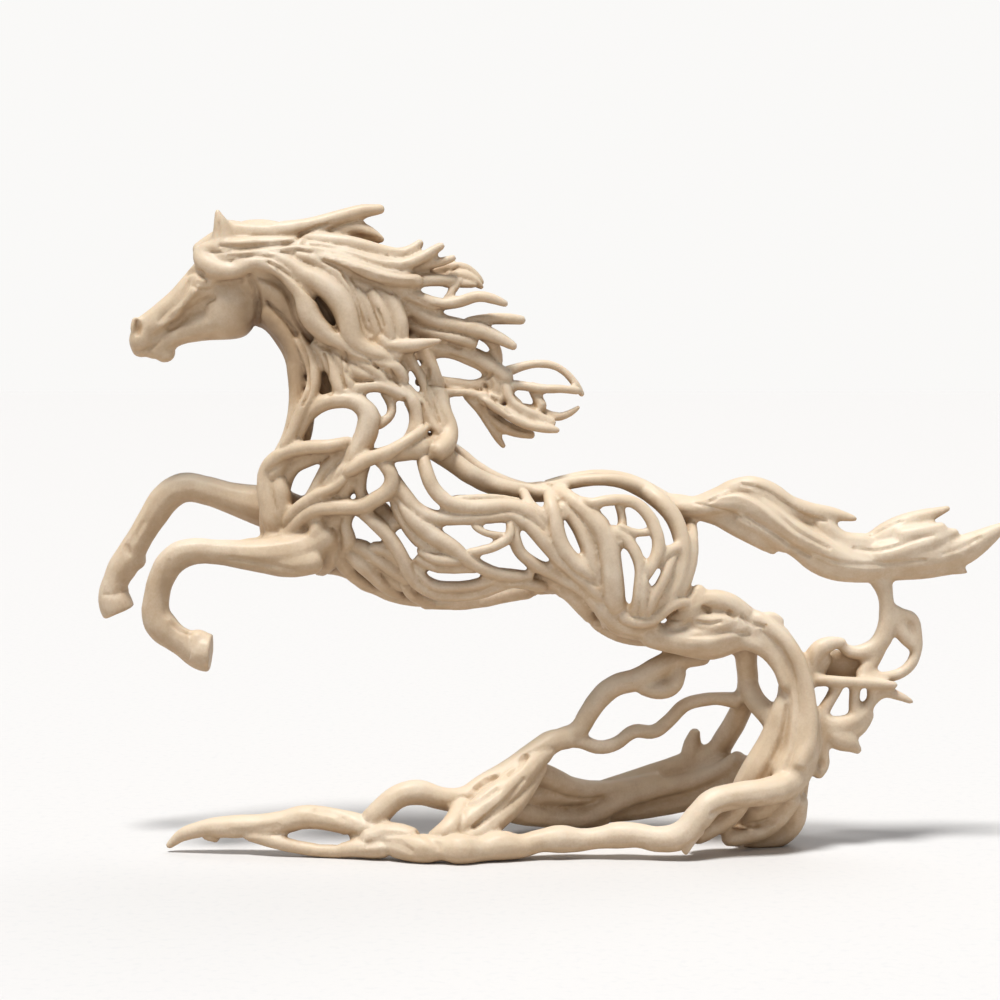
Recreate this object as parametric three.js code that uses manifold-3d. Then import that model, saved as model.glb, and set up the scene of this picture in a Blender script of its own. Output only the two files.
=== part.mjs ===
// A table ornament of a leaping horse, cast in one piece of ivory resin in the manner of driftwood.
// The horse faces -X, its left flank faces -Y and +Z is up. All sizes are in millimetres.
// Every branch is a round bar of changing thickness along a smooth route. The bars run over the
// horse's body as a cage that is open between them, and they are all joined into one solid.
import * as THREE from "three";
import { mergeVertices } from "three/addons/utils/BufferGeometryUtils.js";
import Module from "manifold-3d";

const wasm = await Module();
wasm.setup();

// Driving dimensions.
const stepLength = 21; // length of one straight stretch of a bar
const thinSides = 4; // sides of a bar's section
const stoutSides = 6;
const stoutRadius = 5.4; // a bar whose mean radius is over this has the stout section
const flankPower = 2.3; // 2 would make the body's section an ellipse
const farDrift = [1.5, -1]; // how far the right flank's bars lie from a mirror image, along X and Z
const castColour = 0xdcc7a6;

// The barrel of the body: place along X, height of the back, height of the belly, half width.
const barrel = [
  [-147, 188, 158, 9],
  [-138, 215, 142, 16],
  [-125, 245, 136, 22],
  [-110, 255, 134, 26],
  [-90, 250, 128, 28],
  [-70, 225, 121, 30],
  [-50, 202, 117.5, 32],
  [-30, 189, 120, 31],
  [-10, 182, 124, 28],
  [5, 183, 124, 27],
  [25, 189.5, 108, 29],
  [45, 184, 100, 29],
  [60, 177, 99, 25],
  [70, 165, 99, 19],
  [78, 150, 102, 10],
];

// The body's section at x: [back, belly, half width].
function sectionAt(x) {
  const last = barrel.length - 1;
  if (x <= barrel[0][0]) return barrel[0].slice(1);
  if (x >= barrel[last][0]) return barrel[last].slice(1);
  const i = barrel.findIndex((station) => station[0] > x) - 1;
  const [a, b] = [barrel[i], barrel[i + 1]];
  const t = (x - a[0]) / (b[0] - a[0]);
  return [1, 2, 3].map((k) => a[k] + (b[k] - a[k]) * t);
}

// How far the centre of a bar of radius r lies from the middle plane, where it runs in the flank at x, z.
function flankDepth(x, z, r) {
  const [back, belly, half] = sectionAt(x);
  const rise = Math.max((back - belly) / 2 - r, 1);
  const t = Math.min(Math.abs(z - (back + belly) / 2) / rise, 1);
  return (half - r) * (1 - t ** flankPower) ** (1 / flankPower);
}

function solidOf(geometry) {
  geometry.deleteAttribute("normal");
  geometry.deleteAttribute("uv");
  const merged = mergeVertices(geometry, 1e-4);
  return new wasm.Manifold(
    new wasm.Mesh({
      numProp: 3,
      vertProperties: merged.attributes.position.array,
      triVerts: new Uint32Array(merged.index.array),
    }),
  );
}

// A bar through the points [x, y, z, radius], closed at both ends.
function bar(points) {
  const curve = new THREE.CatmullRomCurve3(
    points.map(([x, y, z]) => new THREE.Vector3(x, y, z)),
    false,
    "centripetal",
  );
  const mean = points.reduce((sum, p) => sum + p[3], 0) / points.length;
  const sides = mean > stoutRadius ? stoutSides : thinSides;
  const reach = Math.PI / sides / Math.sin(Math.PI / sides); // gives the flat-sided section a round one's breadth
  const steps = Math.max(2, Math.round(curve.getLength() / stepLength));
  const frames = curve.computeFrenetFrames(steps, false);
  const vertices = [];
  const index = [];
  for (let i = 0; i <= steps; i++) {
    const u = curve.getUtoTmapping(i / steps);
    const place = curve.getPoint(u);
    const at = Math.min(Math.floor(u * (points.length - 1)), points.length - 2);
    const share = u * (points.length - 1) - at;
    const radius = reach * (points[at][3] * (1 - share) + points[at + 1][3] * share);
    for (let k = 0; k < sides; k++) {
      const angle = (2 * Math.PI * k) / sides;
      const rim = place
        .clone()
        .addScaledVector(frames.normals[i], radius * Math.cos(angle))
        .addScaledVector(frames.binormals[i], radius * Math.sin(angle));
      vertices.push(rim.x, rim.y, rim.z);
    }
  }
  for (let i = 0; i < steps; i++)
    for (let k = 0; k < sides; k++) {
      const [a, b] = [i * sides + k, i * sides + ((k + 1) % sides)];
      index.push(a, b, b + sides, a, b + sides, a + sides);
    }
  const end = steps * sides;
  for (let k = 1; k < sides - 1; k++) {
    index.push(0, k + 1, k);
    index.push(end, end + k, end + k + 1);
  }
  const geometry = new THREE.BufferGeometry()
    .setAttribute("position", new THREE.Float32BufferAttribute(vertices, 3))
    .setIndex(index);
  return solidOf(geometry);
}

// An egg-shaped mass at [x, y, z] with three radii, tipped about Y.
function mass([x, y, z], [rx, ry, rz], tip = 0) {
  const geometry = new THREE.SphereGeometry(1, 8, 6)
    .scale(rx, ry, rz)
    .rotateY(tip)
    .translate(x, y, z);
  return solidOf(geometry);
}

// A bar that lies in one flank, through the points [x, z, radius]. side is -1 for the left flank and 1 for the right.
function flankBar(side, route) {
  const [dx, dz] = side > 0 ? farDrift : [0, 0];
  return bar(route.map(([x, z, r]) => [x + dx, side * flankDepth(x, z, r), z + dz, r]));
}

const onBothFlanks = (routes) => routes.flatMap((route) => [-1, 1].map((side) => flankBar(side, route)));
const onLeftFlank = (routes) => routes.map((route) => flankBar(-1, route));

// A bar given on the left side, with its mirror image on the right.
const withMirror = (routes) =>
  routes.flatMap((route) => [bar(route), bar(route.map(([x, y, z, r]) => [x, -y, z, r]))]);

function head() {
  const skull = [
    mass([-162, 0, 288], [18, 11, 16]),
    mass([-162, 0, 268], [15, 10.5, 17]),
    bar([
      [-160, 0, 280, 14],
      [-174, 0, 275, 13],
      [-189, 0, 264, 10],
      [-202, 0, 255, 9],
      [-208, 0, 253, 6.5],
    ]),
    bar([
      [-160, 0, 262, 12],
      [-176, 0, 256, 10],
      [-191, 0, 247, 6.5],
      [-196, 0, 245, 5],
    ]),
  ];
  const ears = withMirror([
    [
      [-163, -6, 301, 4.6],
      [-165, -7, 309, 3.6],
      [-166, -8, 316.5, 0.8],
    ],
  ]);
  return [...skull, ...ears];
}

function neck() {
  return withMirror([
    [[-147, -3, 270, 8], [-134, -4, 258, 8.5], [-126, -5, 243, 8.5], [-122, -5, 228, 8.5], [-123, -6, 212, 8.5], [-130, -7, 197, 8]],
    [[-113, -12, 254, 5], [-110, -15, 235, 5.5], [-113, -17, 220, 5.5], [-121, -16, 206, 5]],
    [[-107, -12, 258, 5], [-102, -17, 240, 5], [-99, -19, 227, 5]],
    [[-95, -10, 252, 6], [-88, -14, 235, 6], [-82, -16, 222, 5]],
  ]);
}

// The locks that fall over the neck, and those that stream back from its crest.
function mane() {
  const overNeck = withMirror([
    [[-152, -8, 291, 5], [-133, -12, 284, 5.5], [-124, -14, 271, 5.5], [-117, -15, 258, 6], [-104, -17, 248, 6], [-90, -17, 241, 4.6], [-76, -15, 240, 3.6]],
    [[-154, -5, 296, 5], [-130, -9, 291, 6], [-112, -13, 281, 7.5], [-102, -15, 267, 8], [-99, -17, 253, 7.5], [-91, -18, 244, 5], [-78, -17, 241, 4]],
    [[-152, -3, 300, 5], [-120, -5, 296, 6], [-100, -7, 287, 7], [-86, -8, 273, 8], [-78, -9, 258, 7], [-76, -12, 244, 5]],
  ]);
  const streaming = [
    [[-165, 0, 303, 5], [-135, -2, 304, 5.5], [-115, -3, 310, 5], [-100, -2, 314, 5], [-90, -1, 318, 4.6], [-83, 0, 319.5, 3]],
    [[-158, 3, 307, 5], [-140, 4, 309, 5], [-122, 4, 307, 5.5], [-105, 5, 307, 4.5], [-93, 6, 310, 4], [-84, 7, 304.5, 2]],
    [[-125, 2, 301, 5], [-100, 0, 300, 5.5], [-78, -2, 297, 5], [-66, -3, 300, 2.5]],
    [[-120, -5, 297, 5], [-90, -7, 291, 5.5], [-75, -8, 288, 5], [-62, -9, 292, 3.6], [-54, -10, 299.5, 2]],
    [[-80, -4, 286, 4], [-62, -5, 291, 3.4], [-47.5, -6, 294.5, 1.5]],
    [[-76, -3, 283, 4], [-54, -1, 283, 3.6], [-42, 0, 281, 1.8]],
    [[-56, 0, 283, 3], [-44, 4, 288, 2.6], [-35, 5, 282, 1.6]],
    [[-90, -5, 280, 4.5], [-68, -6, 274, 4.5], [-50, -6, 271, 4], [-32, -8, 275.5, 4], [-23, -9, 272, 2]],
    [[-84, -3, 277, 4.5], [-60, -3, 266, 5], [-40, -4, 263, 5], [-25, -5, 258.5, 4.5], [-18, -6, 253, 2.6]],
    [[-36, 1, 262, 3], [-22, 5, 263.5, 3.4], [-13.5, 6, 264, 2.8]],
    [[-38, -2, 259, 4], [-28, 0, 253, 4], [-25, 1, 246, 3.6], [-27, 1, 240, 3]],
  ];
  const lowFan = [
    [[-78, 2, 253, 4], [-55, 5, 256, 3.4], [-42, 5, 254, 4], [-32, 4, 244, 6], [-20, 0, 233, 5.5]],
    [[-76, -2, 247, 4.5], [-52, 2, 248, 5.5], [-38, 3, 244, 6], [-30, 2, 236, 6]],
    [[-62, 1, 233, 3.6], [-45, 2, 230.5, 3.6], [-30, 2, 233, 4]],
    [[-60, -1, 227, 3.6], [-45, -3, 226.5, 3.8], [-33, -5, 224, 4], [-22, -7, 215, 4], [-10, -8, 209.5, 3.6], [0, -8, 209, 2]],
    [[-74, 0, 249, 3.4], [-63, 0, 232, 3.6], [-57, 0, 218, 4], [-52, 0, 204, 5]],
    [[-51, 1, 229, 4.4], [-53, 1, 212, 4.6], [-52, 0, 200, 5]],
    [[-38, 1, 226, 3.6], [-31, 4, 211, 3], [-24, 5, 200, 1.6]],
    [[-30, 0, 222, 4.6], [-16, -1, 209, 4.8], [-6, -2, 205, 3]],
    [[-26, 0, 236, 5], [-16, 0, 225, 3.8], [-3, -1, 220, 3], [13, 1, 219.5, 1.3]],
    [[-24, 3, 237, 4], [-10, 4, 240, 3.2], [2, 5, 241, 2.8], [9, 4, 235, 2.6], [15, 3, 226, 1.3]],
    [[-20, 1, 234, 4.4], [-2, 0, 229, 3], [13, 3, 229, 2]],
  ];
  return [...overNeck, ...[...streaming, ...lowFan].map(bar)];
}

function shoulders() {
  const main = onBothFlanks([
    [[-131, 194, 3.6], [-124, 211, 3.8], [-112, 220, 4.4], [-100, 222, 5], [-91, 213, 6], [-90, 200, 6], [-97, 187, 5.5], [-104, 172, 5]],
    [[-94, 198, 3.8], [-112, 200, 3.8], [-128, 196, 4.4], [-138, 185, 5], [-139, 170, 5], [-136, 157, 6.5]],
    [[-136, 158, 5], [-116, 167, 4], [-100, 170, 4], [-86, 174, 4.4], [-78, 181, 4.4], [-82, 192, 4]],
    [[-117, 170, 5], [-123, 151, 5.5], [-127, 141, 5.5]],
    [[-103, 172, 5.5], [-111, 154, 6.5], [-115, 142, 6.5]],
  ]);
  const shownOnly = onLeftFlank([
    [[-99, 196, 3.4], [-112, 182, 3.8], [-120, 171, 4], [-134, 158, 5]],
    [[-59, 210, 1.8], [-70, 202, 3.4], [-84, 193, 4.8], [-95, 182, 5], [-104, 169, 5]],
    [[-90, 189, 5], [-72, 195, 6], [-58, 201, 7]],
    [[-76, 229, 4], [-68, 213, 4.6], [-69, 202, 4.6], [-80, 190, 4.2]],
  ]);
  return [...main, ...shownOnly];
}

function torso() {
  const backbone = bar([
    [-60, 0, 202, 8],
    [-47, 0, 195, 7],
    [-35, 0, 185, 6],
    [-20, 0, 179, 5.5],
    [-5, 0, 176.5, 5.5],
    [10, 0, 178, 4.8],
    [27, 0, 183.5, 4.6],
    [40, 0, 182, 4.8],
    [52, 0, 175, 5],
    [61, 0, 165, 5],
    [68, 0, 150, 4.8],
    [70, 0, 137, 4.6],
    [66, 0, 121, 4.4],
  ]);
  const main = onBothFlanks([
    [[-66, 197, 5], [-64, 183, 4.8], [-57, 172, 4.8], [-46, 167, 5], [-18, 166, 4.8], [-6, 161, 4.8], [4, 153, 4.8], [13, 142, 4.6], [26, 131, 4.4]],
    [[-82, 188, 4.5], [-76, 171, 6], [-67, 158, 8.5], [-57, 151, 8.5], [-46, 145, 6.5], [-37, 139, 5], [-14, 134, 4]],
    [[-108, 142, 5.5], [-92, 138, 6.5], [-76, 129, 6.5], [-58, 124, 6], [-43, 123, 6], [-25, 125, 5.4], [10, 128, 4.6]],
    [[-8, 137, 4.5], [8, 128, 4.4], [24, 116, 4.8], [35, 107, 5.4], [50, 103, 5.6], [66, 104, 6]],
    [[-6, 176, 6], [14, 167, 6.5], [25, 157, 7], [31, 142, 7.4], [32, 127, 7.4], [36, 115, 6.2], [45, 110, 4.6], [57, 117, 5], [68, 119, 5.4]],
    [[16, 167, 3], [34, 172, 3.2], [46, 167, 3.4], [53, 153, 3.8], [53, 139, 3.8], [45, 112, 3]],
  ]);
  const shownOnly = onLeftFlank([
    [[-60, 161, 3.6], [-30, 160, 3.6], [-21, 163, 3.6], [-12, 160, 3.8], [-3, 153, 3.8], [15, 133, 3.8], [28, 123, 3.4]],
    [[-22, 163, 3.6], [-20, 152, 3.6], [-16, 143, 3.6], [-8, 137, 3.8], [8, 130, 3.6]],
    [[-92, 166, 4.4], [-78, 154, 4.4], [-70, 139, 4.4], [-60, 132, 4], [-45, 129, 4]],
    [[28, 157, 3.4], [42, 149, 3.4], [47, 139, 3.4], [46, 123, 3.2]],
    [[58, 167, 3.4], [65, 150, 3.4], [65, 135, 3.4], [58, 121, 3.4], [48, 110, 3]],
  ]);
  return [backbone, ...main, ...shownOnly];
}

// A hoof: a short cone from the coronet to the sole, both [x, y, z, radius].
const hoof = (coronet, sole) => bar([coronet, sole]);

function forelegs() {
  return [
    bar([
      [-106, -15, 144, 9],
      [-120, -16, 144, 10.5],
      [-135, -17, 144, 9.5],
      [-150, -19, 145.5, 8.2],
      [-170, -20, 147, 6.6],
      [-185, -20, 147.5, 6.4],
      [-192, -20, 144, 6.6],
      [-195.5, -20, 134, 6.4],
      [-196.5, -20, 122, 6.4],
      [-198, -20, 112, 7],
      [-194, -20, 105.5, 6.8],
      [-187, -20, 101.5, 6.4],
      [-179, -20, 97.5, 6.8],
    ]),
    hoof([-183, -20, 98.5, 7.4], [-170, -20, 95, 11]),
    bar([
      [-126, 13, 168, 10],
      [-150, 17, 171, 9.5],
      [-165, 19, 174, 8.5],
      [-180, 20, 178, 7.8],
      [-190, 20, 177, 7.6],
      [-197, 20, 168, 7],
      [-204, 20, 157, 6.7],
      [-211, 20, 145, 7],
      [-216, 20, 138, 7.4],
      [-220, 20, 131, 7],
      [-221.5, 20, 124, 7.6],
    ]),
    hoof([-221, 20, 127, 8], [-219.5, 20, 113, 10.5]),
  ];
}

function hindquarters() {
  return [
    [[46, -14, 107, 8], [70, -14, 105, 9.5], [90, -11, 107, 10], [106, -9, 112, 9]],
    [[60, -14, 116, 6], [78, -12, 121, 9], [94, -9, 117, 8]],
    [[50, 12, 106, 7], [72, 10, 102, 7], [92, 5, 105, 8], [108, -4, 111, 8]],
    [[62, 12, 122, 5], [78, 10, 129, 5.5], [88, 4, 120, 7]],
    [[102, -8, 112, 9], [117, -9, 104, 8.5], [127, -10, 91, 9], [133, -12, 75, 9.5], [133, -15, 59, 9], [129, -19, 43, 8.5], [121, -28, 32, 8], [108, -38, 27, 8]],
    [[127, -6, 83, 8], [121, -3, 66, 12], [115, -3, 50, 13], [108, -2, 36, 13], [100, 2, 26, 11]],
    [[96, 4, 103, 8], [100, 9, 88, 7.5], [100, 14, 70, 7.5], [94, 22, 52, 8], [80, 32, 38, 8.5]],
  ].map(bar);
}

function tail() {
  const plume = [
    [[58, 0, 168, 6], [80, 0, 170, 7], [98, 0, 176, 8], [112, 2, 172, 8], [122, 3, 165, 7.5], [136, 4, 165, 5.5], [146, 5, 162, 3.6], [153, 5, 160, 1.5]],
    [[60, 0, 166, 6], [85, -2, 165, 8], [102, -4, 160, 9], [118, -3, 150, 9.5], [133, -1, 141, 9.5], [150, 0, 137, 9.5], [168, 0, 139, 9.5], [185, 0, 142, 9], [200, 0, 143, 8], [214, 0, 148, 7.4], [229, 0, 155, 3]],
    [[82, 2, 161, 5], [95, 3, 153, 6], [104, 4, 148, 5], [111, 5, 145, 3.5]],
    [[112, 3, 166, 7], [130, 3, 155, 8], [145, 2, 149, 8], [165, 1, 149, 8]],
    [[158, 2, 147, 7], [172, 3, 157, 7], [185, 4, 162, 5], [198, 5, 168, 1.6]],
    [[180, -2, 149, 7], [200, -2, 155, 6], [207, -1, 156, 3]],
  ];
  const stay = [
    [[164, 0, 136, 6], [168, 0, 119, 5], [168, 0, 106, 6.5], [160, -2, 95, 8.5], [148, -3, 91, 9], [136, -4, 93, 8], [131, -6, 84, 6], [140, -8, 79, 5], [158, -9, 78, 5], [173, -9, 76, 3.6]],
    [[168, 1, 107, 5], [180, 3, 113, 5.4], [185, 3, 99, 4.4], [183, 2, 88, 5], [172, -2, 81, 5], [158, -5, 79, 4]],
    [[143, -7, 80, 4.6], [137, -7, 67, 4.6], [133, -9, 53, 5], [129, -12, 43, 5]],
    [[152, -7, 80, 5], [152, -6, 63, 5]],
    [[156, -5, 62, 5], [166, -5, 71, 4.6], [174, -6, 70, 3.6], [181, -6, 69.5, 1.5]],
    [[135, -9, 56, 6], [147, -8, 54, 9], [156, -6, 56, 7]],
  ];
  return [...plume, ...stay].map(bar);
}

// The roots that the horse leaps from. They lie on the ground on both sides and meet at the front tip.
function roots() {
  const nearSide = [
    [[118, -30, 29, 7.5], [100, -40, 24, 8.5], [84, -45, 19, 8.5], [70, -48, 8, 9], [48, -47, 5.5, 9], [28, -46, 7, 8.5], [8, -45, 6, 8], [-14, -43, 5, 8], [-38, -40, 4, 8.5], [-60, -36, 4.5, 8.5], [-84, -32, 6, 8.5]],
    [[124, -24, 32, 8.5], [116, -34, 14, 10], [104, -38, 6, 10]],
    [[-189, -28, 0.5, 2.6], [-180, -28, 7, 5], [-163, -28, 10.5, 6.5], [-142, -29, 10.5, 7.5], [-122, -30, 14, 7.5], [-104, -30, 10, 8], [-84, -31, 7, 9]],
  ];
  const rising = [
    [[-98, -30, 9, 9], [-84, -25, 20, 9], [-69, -16, 27, 8.5], [-50, -9, 23, 8.5], [-34, -5, 26, 9], [-20, -2, 34, 9], [-10, 0, 45, 7.5], [2, 2, 53, 6], [16, 4, 54, 6]],
    [[-44, -36, 7, 9], [-30, -22, 15, 9], [-18, -8, 26, 9]],
    [[12, 4, 54, 6], [24, 5, 66, 6], [32, 5, 78, 6.4], [48, 4, 82, 7.5], [66, 0, 92, 7], [78, -3, 100, 6.5]],
    [[8, 4, 54, 5.5], [28, 6, 47, 5], [43, 8, 56, 4], [56, 10, 57, 4], [68, 12, 66, 4.4], [80, 13, 71, 4.4], [98, 12, 70, 5]],
  ];
  const farSide = [
    [[-22, -2, 30, 9], [-8, 20, 16, 9.5], [14, 34, 12, 10], [34, 39, 14, 10], [58, 40, 22, 10], [80, 34, 34, 9], [94, 24, 50, 8.5]],
    [[-2, 34, 5, 9], [22, 42, 4, 9.5], [50, 45, 5, 9.5], [78, 44, 10, 10], [98, 36, 18, 10], [112, 18, 27, 10], [120, -2, 34, 9]],
  ];
  return [...nearSide, ...rising, ...farSide].map(bar);
}

const joined = [
  ...head(),
  ...neck(),
  ...mane(),
  ...shoulders(),
  ...torso(),
  ...forelegs(),
  ...hindquarters(),
  ...tail(),
  ...roots(),
].reduce((whole, piece) => whole.add(piece));

// The underside is ground flat, and a pocket that the bars close off on every side is solid resin.
const block = solidOf(new THREE.BoxGeometry(600, 300, 400).translate(0, 0, 200));
const cast = joined
  .intersect(block)
  .decompose()
  .reduce((largest, shell) => (shell.volume() > largest.volume() ? shell : largest));

// The solid stands centred over the origin.
const { min, max } = cast.boundingBox();
const mesh = cast.getMesh();
const geometry = new THREE.BufferGeometry()
  .setAttribute("position", new THREE.BufferAttribute(mesh.vertProperties, 3))
  .setIndex(new THREE.BufferAttribute(mesh.triVerts, 1))
  .translate(-(min[0] + max[0]) / 2, -(min[1] + max[1]) / 2, -min[2]);

const horse = new THREE.Mesh(
  geometry,
  new THREE.MeshStandardMaterial({ color: castColour, roughness: 0.55, metalness: 0 }),
);
horse.name = "horse_sculpture";

const group = new THREE.Group();
group.add(horse);
export default group;
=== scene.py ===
import math

import bpy
import numpy as np
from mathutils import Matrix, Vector
from mathutils.bvhtree import BVHTree
from mathutils.kdtree import KDTree


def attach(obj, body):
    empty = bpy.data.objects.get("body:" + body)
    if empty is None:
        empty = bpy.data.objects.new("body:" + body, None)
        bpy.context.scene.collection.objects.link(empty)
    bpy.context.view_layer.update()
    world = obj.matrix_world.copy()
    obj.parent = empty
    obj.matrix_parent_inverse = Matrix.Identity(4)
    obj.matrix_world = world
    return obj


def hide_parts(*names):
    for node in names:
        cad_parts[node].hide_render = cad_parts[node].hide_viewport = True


# A leaping horse cast in ivory resin as if grown from driftwood branches.
# Lengths are in millimetres until a point is placed, and in metres from there on.
mm = 0.001

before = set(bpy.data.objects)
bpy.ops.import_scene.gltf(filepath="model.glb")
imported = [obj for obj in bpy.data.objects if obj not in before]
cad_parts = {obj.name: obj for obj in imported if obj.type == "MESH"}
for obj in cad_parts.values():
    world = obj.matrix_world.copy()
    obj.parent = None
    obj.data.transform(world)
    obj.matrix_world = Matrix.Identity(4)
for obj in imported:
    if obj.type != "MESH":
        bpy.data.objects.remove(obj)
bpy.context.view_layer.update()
print("frame loaded")

# Every route below is drawn on the horse's middle plane as its left side is seen, and each of its points then
# moves along the line of sight to its own depth. The gaps of both flanks so lie over one another.
drawing = {
    "seenFrom": (-25, -1150, 236.5),
    "toFrame": (-0.5, 1.4, 0),  # from the drawing's middle to the frame's
}

clay = {
    "voxel": 0.75,  # grain of the remeshed surface
    "web": 0.6,  # radius of the web where two branches meet
    "swell": 0.1,  # added to every branch, because smoothing takes it off
    "weave": 1.5,  # how far one branch passes over or under its neighbours
    "weaveTurn": 2.4,  # from one branch's place in the weave to the next one's, in radians
    "riseLength": 9,  # a branch on the flank has come up to its full height this far from its ends
    "sinkLength": 6,  # and within this length its ends are thinner and sink into the flank
    "sink": 0.35,  # how deep they sink, in radii
    "taper": 0.15,  # how much thinner they are
    "smoothing": 3,
    "lastSmoothing": 2,
    "strokeStep": 0.5,  # a carved stroke is cast at points this far apart
    "creaseStep": 1.5,  # and a strand is followed at points this far apart
    "waver": 0.7,  # depth of the uneven, hand-made surface
    "waverSize": 14,
    "soleHeight": 0.3,  # everything below it is cut off
    "triangles": 194000,
}


def place(x, y, z):
    eyeX, eyeY, eyeZ = drawing["seenFrom"]
    dx, dy, dz = drawing["toFrame"]
    spread = 1 - y / eyeY
    return Vector((eyeX + (x - eyeX) * spread + dx, y + dy, eyeZ + (z - eyeZ) * spread + dz)) * mm


def deselectAll():
    if bpy.context.object and bpy.context.object.mode != "OBJECT":
        bpy.ops.object.mode_set(mode="OBJECT")
    bpy.ops.object.select_all(action="DESELECT")


def applyModifier(piece, kind, **settings):
    bpy.context.view_layer.objects.active = piece
    modifier = piece.modifiers.new(kind.title(), kind)
    for setting, value in settings.items():
        setattr(modifier, setting, value)
    bpy.ops.object.modifier_apply(modifier=modifier.name)


def growBranches(name, routes):
    deselectAll()
    bpy.ops.curve.primitive_bezier_curve_add()
    branches = bpy.context.object
    branches.name = name
    branches.data.splines.clear()
    for route in routes:
        spline = branches.data.splines.new("BEZIER")
        spline.bezier_points.add(len(route) - 1)
        spline.radius_interpolation = "CARDINAL"
        for point, (x, y, z, r) in zip(spline.bezier_points, route):
            point.co = place(x, y, z)
            point.radius = r + clay["swell"]
            point.handle_left_type = "AUTO"
            point.handle_right_type = "AUTO"
    branches.data.bevel_depth = mm
    branches.data.bevel_resolution = 3
    branches.data.resolution_u = 6
    branches.data.use_fill_caps = True
    bpy.ops.object.convert(target="MESH")
    return bpy.context.object


def domed(route):
    grown = list(route)
    for end, before in ((0, 1), (-1, -2)):
        centre = Vector(route[end][:3])
        away = (centre - Vector(route[before][:3])).normalized()
        r = route[end][3]
        past = [(*(centre + away * r * reach), r * share) for reach, share in ((0.4, 0.86), (0.75, 0.42))]
        grown = grown + past if end else past[::-1] + grown
    return grown


def addLump(x, y, z, rx, ry, rz, tip=0):
    deselectAll()
    bpy.ops.mesh.primitive_uv_sphere_add(
        segments=32,
        ring_count=20,
        radius=mm,
        location=place(x, y, z),
        rotation=(0, math.radians(tip), 0),
        scale=(rx, ry, rz),
    )
    return bpy.context.object


def mirrored(routes):
    return [[(x, -y, z, r) for x, y, z, r in route] for route in routes]


def bothSides(routes):
    return routes + mirrored(routes)


head = {
    # middle, then half length, width and height, and how far it is tipped in degrees
    "lumps": [
        (-161, 0, 292, 15, 12, 14),  # cranium
        (-160, -4, 271, 12.4, 8.4, 16.6, 8),  # cheeks
        (-160, 4, 271, 12.4, 8.4, 16.6, 8),
        (-203, 0, 254.8, 6.6, 7.5, 9, 12),  # muzzle
        (-195.4, 0, 248.6, 6.4, 4.6, 3.6, -26),  # lower lip
        (-191.6, 0, 246.6, 5, 4.2, 4, -24),  # chin
        (-203.5, 0, 249, 5, 5.6, 4),  # upper lip
    ],
    # every branch from here on is a list of its points, each with a radius
    "bones": [
        [(-168, 0, 284, 12), (-180.5, 0, 273.5, 9.6), (-192, 0, 265.4, 8), (-201, 0, 259.5, 7)],
        [(-150, 0, 267.6, 8), (-156, 0, 265.6, 11), (-166, 0, 263, 9.6), (-176, 0, 260.6, 8),
         (-186, 0, 257, 6.4), (-194, 0, 251.5, 5.4)],
        [(-170, 0, 293, 6.5), (-167, 0, 298.5, 6.5), (-162, 0, 302.5, 6)],
        [(-160, 0, 266, 8), (-150, 0, 268.5, 9), (-141, 0, 270, 9.5)],  # throat
    ],
    # on both sides
    "sideBones": [
        [(-166, -9, 283, 3), (-176, -9.6, 279, 2.6), (-182, -8.4, 273.5, 2.4), (-190, -6.6, 266, 2),
         (-196, -5.6, 260, 1.8)],
        [(-206, -4.6, 263.5, 2.4), (-207.2, -4.8, 259, 2.2)],  # nostril wing
        # ear
        [(-162.4, -5.5, 303, 6), (-163.2, -6, 309, 4.7), (-164.4, -6.5, 314, 3), (-165.6, -7, 318.4, 1)],
        [(-173.4, -5.5, 297, 4.4), (-171.6, -8.6, 292.6, 5.2), (-166, -11.4, 288.8, 5),
         (-158, -12.6, 287.6, 4.4), (-151, -12.6, 290.4, 4)],  # forelock
    ],
}

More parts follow.
